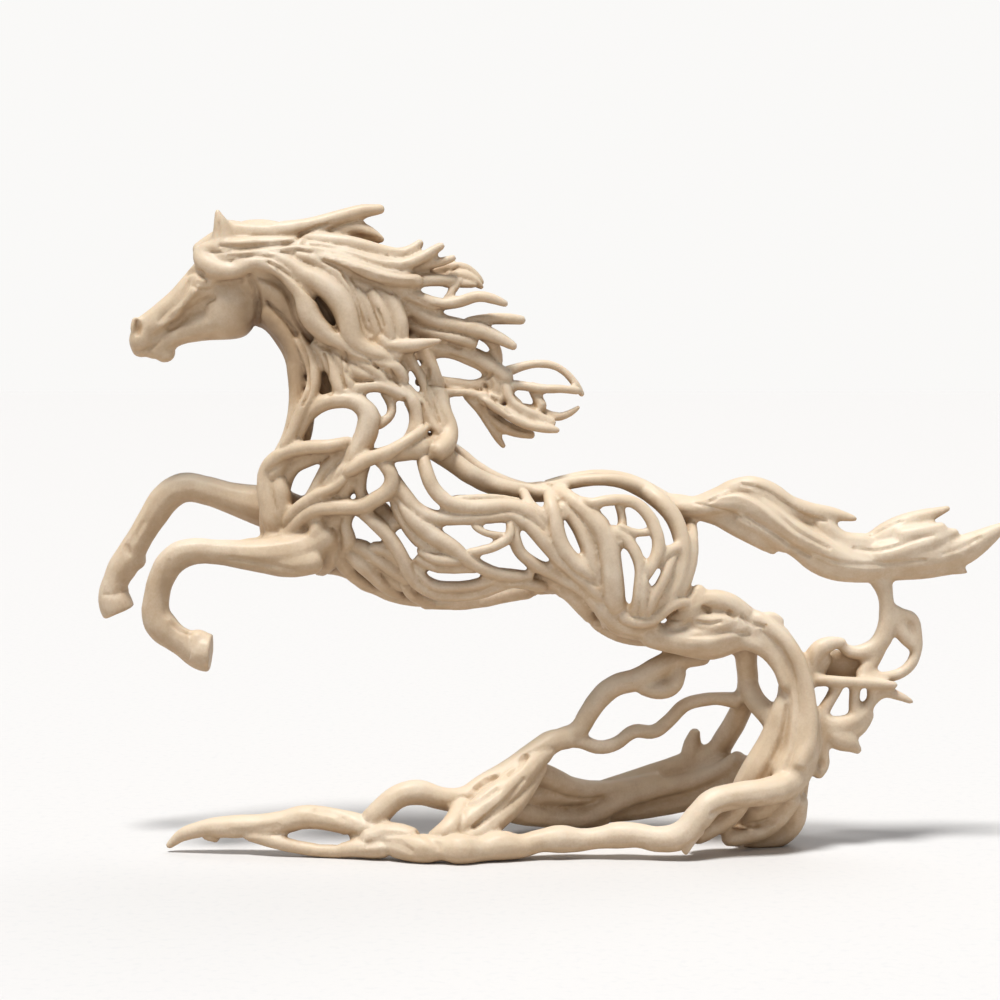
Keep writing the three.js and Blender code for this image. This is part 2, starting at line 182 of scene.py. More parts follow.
neck = {
    # the solid middle, and the long line from the throat down the chest
    "core": [
        [(-150, 0, 288, 13), (-136, 0, 278, 13), (-122, 0, 264, 12.5), (-113, 0, 251, 10.5),
         (-106, 0, 243, 8)],
        [(-128, 0, 293, 10), (-110, 0, 284, 12.4), (-96, 0, 272, 12), (-88, 0, 260, 10.4),
         (-84, 0, 250, 8)],
        [(-125, 0, 278, 11), (-112, 0, 270, 11.4), (-101, 0, 262, 11.4), (-93, 0, 255, 10)],
        [(-112, 0, 262, 11), (-104, 0, 249, 10.6), (-98, 0, 241, 9), (-92, 0, 236, 7)],
        [(-144, 0, 269, 8), (-137, 0, 264, 7.5), (-131, 0, 256.5, 7.5), (-126, 0, 247, 7),
         (-124, 0, 237, 7), (-123.5, 0, 226, 7), (-124.5, 0, 214, 7), (-127, 0, 204, 7), (-132, 0, 195, 7),
         (-137.5, 0, 185, 6), (-139, 0, 172, 6), (-138, 0, 158, 7), (-131, 0, 149, 8),
         (-119, 0, 144.5, 6.5), (-106, 0, 141, 5)],
        [(-122, 0, 250, 8), (-116, 0, 240, 7.4), (-112, 0, 232, 6.4), (-108, 0, 227, 5)],
    ],
    # on both sides, down to the shoulder
    "locks": [
        [(-140, -6, 267, 6), (-132, -7, 258, 6), (-127, -8, 248, 5.2), (-126, -8, 237, 4.8),
         (-125.5, -9, 226, 4.8), (-126.5, -11, 215, 5), (-129, -12, 205, 5.2), (-133, -12, 196, 5.4),
         (-138, -12, 187, 5)],
        [(-155, -12, 291.5, 3.6), (-144, -13, 292, 3.8), (-135, -14, 289, 3.8), (-128, -15, 282.5, 4.2),
         (-122.6, -16, 275, 5), (-120.4, -16.5, 268, 5.6), (-116, -17, 261, 5.2), (-110, -17, 256, 4.6),
         (-102, -17, 251, 4.4), (-95, -17.5, 246, 4), (-85, -17, 243, 3.8), (-77, -15.5, 240, 3.8),
         (-73, -14, 234, 3.4)],
        [(-146, -11, 297, 3.4), (-132, -12.5, 292.5, 4), (-122, -14, 286, 4.8), (-112, -15, 280.5, 5.8),
         (-105.5, -16, 273.5, 6), (-101.5, -16.5, 266, 6), (-99.5, -17, 258, 5.8), (-96, -17.5, 251.5, 5),
         (-88, -17.5, 247, 4.2), (-80, -16, 243, 3.6)],
        [(-125, -12, 296, 3), (-115, -13, 293, 3), (-107.5, -13.5, 288, 3), (-102, -14, 282, 3),
         (-97.5, -14, 275, 2.8), (-94.5, -14, 267.5, 2.8), (-92.5, -14, 260.5, 2.6),
         (-89, -14, 255.5, 2.4)],
        [(-100, -8, 284, 5), (-87.5, -9, 279.5, 5), (-80, -10, 273.5, 5), (-76, -11, 266, 4.6),
         (-74.5, -12, 258.5, 4.4), (-75, -12, 251.5, 4)],
        [(-88, -12.5, 277, 3.2), (-84, -14, 268, 3.4), (-81, -14.5, 260, 3.4), (-79, -15, 252, 3.4),
         (-76.5, -15, 246, 3.4)],
        [(-96, -12.4, 278, 2.4), (-92, -12.8, 271, 2.8), (-88.6, -13, 263.5, 2.8), (-86, -13.5, 256, 2.8),
         (-84, -14.5, 249, 2.8)],
        [(-125, -11, 254, 3.2), (-119.5, -13, 244, 3.6), (-117.5, -15, 234, 3.7), (-119.5, -17, 226.5, 3.7),
         (-123.5, -18, 219, 3.7), (-126.5, -18, 211.5, 3.6), (-130, -17, 204, 3.5),
         (-133.5, -16, 196.5, 3.4)],
        [(-116, -14, 253, 3), (-111, -15.5, 245, 3.5), (-107.5, -17, 236.5, 3.6), (-104.5, -19, 228, 3.4)],
        [(-107, -16, 249, 3), (-103, -17, 241.5, 3.2), (-100.5, -18, 234, 3.2), (-98.5, -19, 226.5, 3.4)],
        [(-100, -17, 247, 2.8), (-92.5, -18, 242, 2.8), (-86, -18, 236.5, 2.8), (-81, -17, 232, 2.8),
         (-75, -16, 229, 3.2), (-69, -15, 223, 4), (-66.5, -15, 215, 4), (-68.5, -17, 206.5, 4),
         (-72.5, -19, 201, 4), (-77.5, -22, 198, 4)],
        [(-99, -17.5, 240, 2.5), (-92.5, -18, 236.5, 2.5), (-85, -17.5, 234, 2.5),
         (-78, -16.5, 231.5, 2.4)],
        [(-101, -19, 228, 3.2), (-94, -18.5, 230, 3.2), (-86, -18, 231, 3.2), (-78, -17, 229, 3.4),
         (-72.5, -16, 226, 3.6)],
        [(-76.5, -14, 241, 3.2), (-74.5, -14, 234, 3.1), (-70, -13.5, 228, 2.9), (-64, -13, 221, 2.7),
         (-60, -13, 214, 2.7), (-56, -14, 208, 2.7)],
        [(-74, -11, 250, 3), (-69, -11, 243, 2.7), (-64.6, -10, 235, 2.5), (-61, -10, 226.5, 2.5),
         (-57, -10, 219, 2.5), (-53, -11, 211, 2.8)],
        [(-64, -5, 249, 4), (-60, -5, 241.5, 4), (-57.6, -5, 234, 4.2), (-55, -6, 226.5, 4.2),
         (-53, -8, 218, 4.2), (-50.4, -10, 209, 4.6), (-52, -16, 202, 5), (-56, -22, 198, 5)],
        [(-82.5, -15, 228, 2.4), (-79, -17, 218, 2.4), (-85, -20, 211.5, 2.4)],
        [(-84, -15, 254, 3.2), (-78, -15.5, 251, 3.8), (-70, -15, 251, 3.6), (-62.5, -14.5, 252, 2.8),
         (-54, -13, 253.6, 0.9)],
    ],
}

mane = {
    # along the top and back from it
    "crest": [
        [(-174, 0, 298, 4.6), (-166, 0, 302, 6), (-157, 0, 306.4, 6), (-145, 0, 307.8, 6),
         (-130, 0, 304.6, 7), (-115, 0, 300, 7.5), (-102, 0, 294, 7.5)],
        [(-160, -1, 307.4, 6.2), (-140, -2, 307, 5.6), (-125, -3, 309, 4.8), (-112.5, -2, 312, 4.2),
         (-102.5, -1, 315, 3.8), (-92.5, 0, 317.6, 3.7), (-84, 0, 318.6, 2.6)],
        [(-112, 1, 306, 4.6), (-102, 1, 308.5, 4.4), (-94, 1, 308.6, 3.8), (-88, 0, 306, 2.8),
         (-83.4, 0, 303.4, 1.6)],
        [(-121, -4, 303.5, 4.4), (-105, -6, 302.5, 4), (-92.5, -7, 300, 3.8), (-82.5, -7, 297.5, 3.4),
         (-75, -7, 296.5, 3.1), (-68.5, -6, 298.5, 2.9), (-64.5, -5, 302, 2.1)],
        [(-115, 0, 301, 6), (-98, 0, 299, 5), (-85, 0, 295.5, 4.2), (-75, 0, 293, 3.8), (-64, 0, 291.5, 3)],
    ],
    # on both sides
    "locks": [
        [(-172, -7, 299, 3.4), (-160, -9.5, 300, 4.2), (-148, -9.5, 301, 4), (-136, -9, 301, 4),
         (-124, -8.6, 301, 3.8)],
        [(-168, -9, 295, 2.6), (-156, -12, 295.4, 3), (-144, -11.6, 298, 3), (-132, -11, 299, 3.2),
         (-120, -11, 297.6, 3.4), (-108, -11.4, 295.6, 3.4), (-96, -11.6, 292.6, 3)],
        [(-125, -8, 301, 3.2), (-112.5, -9, 298.6, 3.4), (-100, -10, 296, 3.4), (-87.5, -10.5, 293, 3.2),
         (-77.5, -10.5, 291, 3.2), (-70, -10, 291.8, 3), (-63, -9, 295, 2.8), (-57.5, -8, 298.5, 2.5),
         (-54, -8, 300.6, 2.1)],
        [(-72, -8, 289.5, 2.8), (-62, -6, 291, 2.4), (-55, -6, 292.4, 2.3), (-48, -6, 294.6, 1.7)],
        [(-117, -12, 296, 3.2), (-104, -13.4, 292.4, 3.8), (-94, -14, 288.8, 4), (-85, -13.5, 285.8, 4),
         (-75, -12.6, 283.8, 3.8), (-66, -11, 283.2, 3.2)],
        [(-85, -9, 281.5, 3.4), (-75, -9, 278.5, 3.6), (-65, -8, 274.2, 3.6), (-55, -7, 271.8, 3.2),
         (-45, -7, 272.8, 3), (-36, -8, 275.4, 2.9), (-28, -8.4, 274, 2.5), (-22, -9, 271.6, 1.8)],
        [(-85, -7, 280.5, 4), (-75, -6, 273.6, 4.4), (-65, -5, 267, 4.6), (-55, -4, 262.8, 4.6),
         (-45, -4, 260.4, 4.4), (-35, -5, 258.4, 4), (-25, -6, 254.4, 3.2), (-18, -7, 250.6, 2.2)],
    ],
    # thin loose ends
    "wisps": [
        [(-67, -9, 282.8, 3), (-56, -5, 283.4, 3), (-46, -2, 282.4, 2.8), (-37.5, -2, 281, 1.6)],
        [(-70, -6, 287, 2.6), (-60, -1, 286.4, 2.4), (-52.5, 1, 289.4, 2.4), (-44, 3, 290, 2.4),
         (-37.5, 4, 286.4, 2.2), (-34, 4, 282, 1.6)],
        [(-50, 0, 285.6, 2.6), (-42.5, 0, 285.6, 3), (-36.6, 0, 282, 2.5), (-34, 0, 279.8, 1.5)],
        [(-45, -3, 283, 2), (-48, -4, 279, 2), (-52.5, -6, 273, 2)],
        [(-42, -4, 262, 3), (-32, -2, 264, 3), (-22, 0, 264.4, 2.9), (-14, 2, 263.6, 2.5)],
        [(-42, -4, 260, 3.2), (-32, -2, 255.4, 3), (-27, 0, 249, 2.8), (-26, 0, 242, 2.6)],
        [(-80, -4, 268, 3), (-68, -4, 260, 3), (-57, -5, 256.6, 3), (-46, -5, 254.6, 3),
         (-38, -5, 252, 2.6)],
    ],
    # its lowest part, which ends in open loops
    "fan": [
        [(-72, -6, 252, 4), (-60, -2, 249.4, 4.6), (-50, 0, 249.2, 4.8), (-40, 0, 246, 5),
         (-30, 0, 240.6, 5), (-23, 0, 234.6, 5)],
        [(-66, -3, 233, 2.4), (-58, -2, 233.6, 2.5), (-48, -1, 232.8, 2.4), (-38, 0, 231.6, 2.6),
         (-30, 0, 234, 3)],
        [(-62, -5, 229.4, 2.6), (-54, -5, 228, 2.5), (-44, -4, 227.8, 2.5), (-34, -4, 226, 2.8),
         (-26, -3, 224, 3)],
        [(-42, -3, 227, 2.6), (-36, -1, 220.5, 2.6), (-30.5, 1, 212, 2.5), (-26.5, 2, 205.5, 2.2),
         (-23, 3, 200.5, 1.4)],
        [(-36, -4, 226.5, 2.6), (-27, -6, 220.4, 2.6), (-18, -7, 214.6, 2.5), (-10, -8, 211, 2.4),
         (-1, -8, 209.6, 2.4), (4, -8, 208.8, 1.6)],
        [(-34, 0, 222, 3.2), (-28, 1, 214.5, 3.6), (-20, 1, 209.4, 3.4), (-9, 2, 206.4, 2.4)],
        [(-30, 0, 233, 3.6), (-22.5, 1, 225, 3), (-14, 1, 220.5, 2.6), (-4, 1, 217.5, 2.5),
         (4, 0, 215.6, 2.3), (10, 0, 217.4, 1.9), (14.5, 0, 220.6, 1.2)],
        [(-24, 1, 237, 3.2), (-15, 3, 240.4, 2.4), (-4, 4, 242, 2.3), (4, 4, 240, 2.2), (11, 3, 234, 2.1),
         (16, 2, 226.5, 1.5)],
        [(-24, 0, 232, 3), (-14, -1, 231, 2.5), (-3, -2, 229.6, 2.4), (7, -2, 229.4, 2.2),
         (14, 0, 228.4, 1.8)],
        [(-22.5, -2, 231, 3), (-19.5, -4, 223.6, 2.6), (-13, -5, 219, 2.4), (-5, -5, 215.4, 2.3),
         (1.5, -5, 212.6, 2)],
        [(-9, 2, 231, 2.6), (-6.4, 0, 225, 2.6), (-4, -2, 221, 2.6)],
        [(-30, 0, 240, 4), (-26, 0, 230, 4.4), (-28, 0, 220, 4)],
        [(-22, 0, 226, 2.6), (-16, 0, 221.6, 3), (-12, 0, 215, 3)],
    ],
}

barrel = {
    # place along the body: height of the back, height of the belly, half width
    "sections": [
        (-147, 188, 158, 9),
        (-138, 215, 142, 16),
        (-125, 245, 136, 21),
        (-110, 255, 134, 25),
        (-90, 250, 128, 28),
        (-70, 225, 121, 31),
        (-50, 202, 118, 33),
        (-30, 189, 120.5, 32),
        (-10, 182.5, 124.5, 29),
        (5, 183, 126, 28),
        (25, 190, 108, 29),
        (45, 185, 100, 29),
        (60, 178, 99, 25),
        (70, 166, 98, 19),
        (80, 150, 100, 12),
    ],
    "roundness": 2.4,
    # how far each layer of branches stands out from the flank: its branches
    "layers": {
        3.4: [
            [(-155, 151, 5), (-144, 151, 4.6), (-135, 154, 4), (-130, 158, 3.6), (-125, 164, 3.3),
             (-118.5, 168.5, 3.4), (-110, 170, 3.8), (-102.5, 170.5, 4), (-95, 170.5, 4), (-87.5, 174, 4),
             (-81, 179, 4), (-79, 185, 3.8), (-82.5, 191.5, 3.6), (-88, 196, 3.4)],
            [(-106, 184, 2.4), (-98, 190, 3.4), (-90, 194.6, 3.6), (-82.5, 197, 3.6), (-75, 201, 3.4),
             (-67.5, 206, 3), (-62.5, 210, 2.3), (-58.5, 212.4, 1.4)],
            [(-97, 170, 3.2), (-90, 164.6, 3.5), (-83.6, 159, 3.7), (-78, 152, 3.7), (-73.6, 144.5, 3.6),
             (-70, 136.5, 3.4), (-66, 131.5, 3.2), (-60, 128, 3.2), (-52.5, 126, 3.2), (-45, 126, 3.2),
             (-35, 127.5, 3.2), (-25, 131, 3.2), (-15, 132.5, 3)],
            [(-116, 167, 3.4), (-117, 159, 3.7), (-119, 151.5, 4), (-123.5, 145, 4.4), (-130, 141.5, 4.6)],
            [(-101, 203, 3.5), (-110, 201, 3.5), (-120, 200.4, 3.6), (-130, 198.4, 3.7), (-137, 194.4, 4),
             (-141, 188, 4.8), (-141.2, 180, 5.6), (-139.6, 171, 6), (-138, 163, 6), (-137, 155, 6)],
            [(-134, 157, 4), (-131, 165, 3.2), (-125, 171, 3), (-117, 176, 3.2), (-109, 179.6, 3.2),
             (-103, 185, 2.8), (-99, 191, 2.2)],
        ],
        0: [
            [(-126, 204, 3.6), (-125, 209, 3.6), (-121, 216.5, 3.8), (-114, 222, 4), (-106, 224, 4.2),
             (-99, 223.6, 4.4), (-94, 221, 4.8), (-90.5, 216, 5.6), (-91, 210, 5.8), (-93, 204, 5.6),
             (-97, 197, 5.2), (-102, 191, 4.6), (-107.5, 184.5, 4.4), (-112, 178, 4.2), (-116, 171, 4)],
            [(-136, 188, 4), (-134.6, 180, 4.6), (-133.6, 172, 5), (-134, 164, 5.6), (-135, 156, 6)],
            [(-104, 197, 3.4), (-110, 191.5, 3.6), (-114, 185, 3.6), (-117.5, 178, 3.8), (-122, 171, 4)],
            [(-99, 196, 3.2), (-104, 189, 3.4), (-107, 183, 3.6), (-111, 177, 3.8), (-115, 172, 4)],
            [(-95, 193, 3.4), (-99, 186.5, 3.6), (-101.5, 180, 3.8), (-105, 174, 4)],
            [(-92, 192, 3), (-94.4, 184, 3), (-94, 177, 3), (-89, 172.6, 3)],
            [(-86, 196, 4.4), (-76, 198, 5), (-66, 199.6, 5.2), (-56, 201.5, 5.4)],
            [(-110, 160, 4.6), (-108.5, 151.5, 5), (-111, 144, 5), (-116, 138.6, 4.4)],
            [(-100, 167.5, 3), (-102, 161.5, 3), (-100.5, 154, 3.4), (-104, 146, 4)],
            [(-124, 168, 4.6), (-129, 160, 5.6), (-134, 152, 6.6)],
            [(-60, 199.5, 5.2), (-50, 194, 5.2), (-40, 187, 5), (-30, 182, 5), (-20, 179, 4.6),
             (-10, 177.5, 4.6), (0, 177, 4.6)],
            [(-64, 197, 3.6), (-61.4, 187, 3.7), (-57.6, 179, 3.8), (-51, 173, 4), (-42.5, 170.4, 4),
             (-31, 170, 4), (-20, 170.6, 4), (-12, 168, 4), (-4, 161, 3.8)],
            [(-52, 175, 1.9), (-45, 174.6, 1.9), (-35, 175.2, 1.9), (-25, 175, 1.9), (-16, 173.6, 2)],
            [(-78, 186, 3.2), (-73, 177, 3.6), (-66, 168.6, 4), (-58, 165.4, 3.8), (-45, 164.6, 3.4),
             (-30, 165.4, 3.4), (-20, 166, 3.6), (-12, 162.4, 3.6), (-7.5, 158, 3.6), (-1.5, 151.5, 3.8),
             (4, 145, 3.6), (10, 139.4, 3.4), (16, 134.6, 3.4), (22, 129, 3.4), (27, 121, 3.4)],
            [(-76, 174, 3.6), (-68, 164, 4.2), (-60, 157.4, 4.4), (-50, 151, 4.2), (-43, 145.6, 3.8),
             (-36, 141, 3.6), (-28, 137.6, 3.4), (-20, 136, 3.2), (-10, 136, 3)],
            [(-77.5, 171.5, 3.2), (-72.5, 163, 3.4), (-67.5, 155.5, 3.4), (-62, 150.4, 3),
             (-57, 147.4, 2.2)],
            [(-20, 163, 2.6), (-20, 156.5, 2.5), (-26, 151.4, 2.5), (-35, 148.6, 2.6), (-44, 147, 2.6)],
            [(-38, 160.6, 1.8), (-32, 157.4, 1.9), (-24, 156.4, 1.9)],
            [(-19, 162, 3.4), (-17.5, 154, 3.2), (-15, 148, 3.2), (-9, 142.6, 3.4), (-2, 139, 3.6),
             (6, 135, 3.4), (13, 130.6, 3.2), (20, 124.4, 3.2), (25.4, 117, 3.4), (29, 111, 3.6)],
            [(-65, 148.6, 2.6), (-57.5, 144.6, 2.6), (-50, 143.4, 2.6), (-41, 144, 2.6)],
            [(-66, 144.6, 2.6), (-58, 140.4, 2.6), (-50, 139.4, 2.6), (-40, 139.8, 2.6), (-31, 139, 2.6)],
            [(-67, 139.6, 2.8), (-62.5, 134.2, 2.8), (-57.5, 131.4, 2.9), (-50, 130.6, 2.9),
             (-40, 131.2, 2.9), (-32.5, 133, 2.9), (-24, 135.4, 2.8)],
            [(-73, 132.5, 3.2), (-70, 128, 3.4), (-65, 124.4, 3.4), (-57.5, 122, 3.4), (-47.5, 121.4, 3.4),
             (-35, 122.8, 3.4), (-22.5, 125.6, 3.4), (-8, 127.6, 3.4)],
            [(-108, 150, 4.4), (-102.5, 142, 4.6), (-95, 134.6, 4.6), (-86, 129.4, 4.6), (-77, 125.6, 4.4),
             (-66, 123, 4.2)],
            [(-103, 151, 4), (-96, 143.6, 4.2), (-89, 137, 4.2), (-82, 130.8, 4), (-75, 127, 3.8)],
            [(-100, 152, 4), (-92.5, 149.6, 4.2), (-85, 144.4, 4.2), (-77.5, 138.6, 4), (-72, 134, 3.6)],
            [(-93, 149, 3.4), (-85, 150, 3.4), (-78, 147, 3.4), (-74, 142, 3.4)],
            [(-35, 129, 3.2), (-25, 132, 3.2), (-15, 132.4, 3.2), (-5, 131, 3.4), (3, 129.4, 3.6)],
            [(-13, 178, 3), (-10, 171.5, 3), (-5.4, 167, 3), (-1, 163, 3.4)],
            [(-1, 179, 3.4), (0.5, 171.5, 3.4), (2.5, 164, 3.8), (4, 156.5, 4.2), (6.5, 150, 4.2),
             (11, 144, 4), (16.5, 139, 3.8), (22.5, 134.4, 3.6)],
            [(-2, 179, 4.4), (7.5, 175.5, 4.6), (15, 171, 4.8), (21.5, 165, 5), (26.5, 158.6, 5.2),
             (29.5, 151.5, 5.3), (30.5, 144, 5.4), (31.5, 134, 5.6), (32.5, 124, 5.6), (36, 115, 5.4)],
            [(25, 161, 3.2), (32.5, 157.8, 3.2), (39, 153, 3.2), (43.4, 146.5, 3.2), (45.3, 139, 3.1),
             (45, 131.5, 3), (44, 124, 2.9), (42, 117.6, 3)],
            [(11, 176, 2.8), (20, 172.4, 2.8), (27.5, 173.6, 2.9), (35, 174, 3), (42.5, 172.4, 3.1),
             (49, 166.5, 3.2), (53, 159, 3.3), (54.4, 151.5, 3.4), (53, 145, 3.3), (50, 139, 3),
             (47.5, 133.6, 2.8)],
            [(66, 171.5, 3.2), (69.4, 164, 3.2), (71, 154, 3.3), (70.8, 144, 3.3), (69, 136.5, 3.3),
             (65.5, 129, 3.3), (62, 122, 3.2)],
            [(66, 151, 2.8), (61.6, 149.4, 2.8), (56, 146, 2.8), (51, 141.4, 2.8), (48, 136, 2.7),
             (47, 129, 2.6), (46.6, 121.5, 2.6), (47, 116.6, 2.8)],
            [(61.6, 147, 2.7), (59, 139, 2.7), (56, 132.6, 2.7), (52.5, 126, 2.7), (50, 120, 2.7),
             (48.4, 115.6, 2.8)],
            [(64, 143, 2.7), (62, 136, 2.7), (58.6, 129, 2.7), (55.6, 122, 2.7), (52.4, 116.6, 2.8)],
            [(34, 119, 3.2), (38.6, 114.4, 3.2), (45, 112.4, 3.2), (51, 113.4, 3.2), (56, 117, 3.2),
             (61, 121, 3.2), (66, 122.6, 3.2), (71, 119.4, 3.2)],
            [(-8, 132, 4), (3, 131.4, 4.4), (10, 127.6, 4.6), (16.5, 121.6, 4.6), (22.5, 114.6, 4.8),
             (29, 109.4, 5), (37, 106, 5), (50, 104.4, 5.2), (63, 103, 5.4)],
            [(12.5, 131.5, 3.8), (20, 125.5, 4), (25.4, 118.6, 4.2), (31, 112.4, 4.4), (39, 108.6, 4.4),
             (50, 107, 4.6)],
            [(24, 125, 3.6), (28, 117, 4), (34, 112, 4.2), (42.5, 109, 4.2), (52, 108, 4.6)],
        ],
        -4: [
            [(-105, 198, 3.4), (-114, 196, 3.4), (-121.4, 193.6, 3.4), (-128, 190, 3.4), (-132, 183, 3.4),
             (-133.4, 176, 3.6), (-133, 168, 4)],
            [(7, 171, 3.6), (14, 162, 4.4), (19, 152, 4.6), (21.6, 142, 4.2), (23, 134, 4)],
            [(34, 172, 2.3), (36, 166, 2.4), (36, 159, 2.4), (35, 153, 2.4)],
            [(54, 160.4, 2.4), (47, 157.6, 2), (41, 158.2, 2), (35, 161, 2.2)],
            [(-98, 150, 4), (-88, 141, 4.4), (-78, 134, 4.4), (-68, 130, 4.2)],
            [(-28, 138, 3), (-16, 136, 3.4), (-4, 134, 3.8), (8, 129, 4)],
            [(-114, 158, 5), (-108, 164, 4), (-102, 162, 3.6)],
            [(-91, 174, 4), (-84, 168, 5), (-78, 161, 4)],
        ],
    },
    # along the top of the rump
    "croup": [
        [(-16, 0, 178.6, 4), (-4, 0, 179, 4.4), (5, 0, 182, 4), (15, 0, 184.6, 3.9), (25, 0, 185.6, 3.9),
         (35, 0, 184.4, 4.1), (44, 0, 181, 4.4), (56, 0, 174.6, 4.6)],
    ],
    # beside it, one on each side
    "croupSides": [
        [(-10, -2, 178, 3.4), (0, -5, 180, 3.3), (10, -8, 182.6, 3.2), (22, -10, 184.2, 3.2),
         (33, -9.4, 183.6, 3.3), (43, -6, 180.4, 3.7), (50, -3, 177, 4)],
    ],
    # from the croup down behind each haunch
    "arch": [
        [(38, 183, 4), (44, 181, 4.4), (52, 175.6, 4.6), (58.6, 169.6, 4.6), (63.2, 162.6, 4.4),
         (65.6, 155, 4), (66.6, 146.5, 3.6), (65, 137, 3.5), (60.6, 127, 3.4), (56, 119, 3.2)],
    ],
    # the back, the dock and the line of the belly
    "backbone": [
        [(-66, 0, 203, 6), (-58, 0, 201, 6), (-47, 0, 196, 5.4), (-38, 0, 189.5, 5), (-27.5, 0, 183.5, 4.6),
         (-12.5, 0, 178.6, 4.4), (-2, 0, 178, 4.2)],
        [(48, 0, 179, 3.6), (56, 0, 174, 4.6), (68, 0, 171, 5.6)],
        [(-119, 0, 143, 5), (-103, 0, 140, 5), (-92, 0, 134, 4.8), (-82, 0, 129, 4.6), (-62, 0, 123.5, 4.4),
         (-50, 0, 122.4, 4.4), (-30, 0, 125, 4.2), (-15, 0, 128.6, 4.2), (5, 0, 130, 4.4), (20, 0, 118, 5),
         (34, 0, 108, 6)],
    ],
}

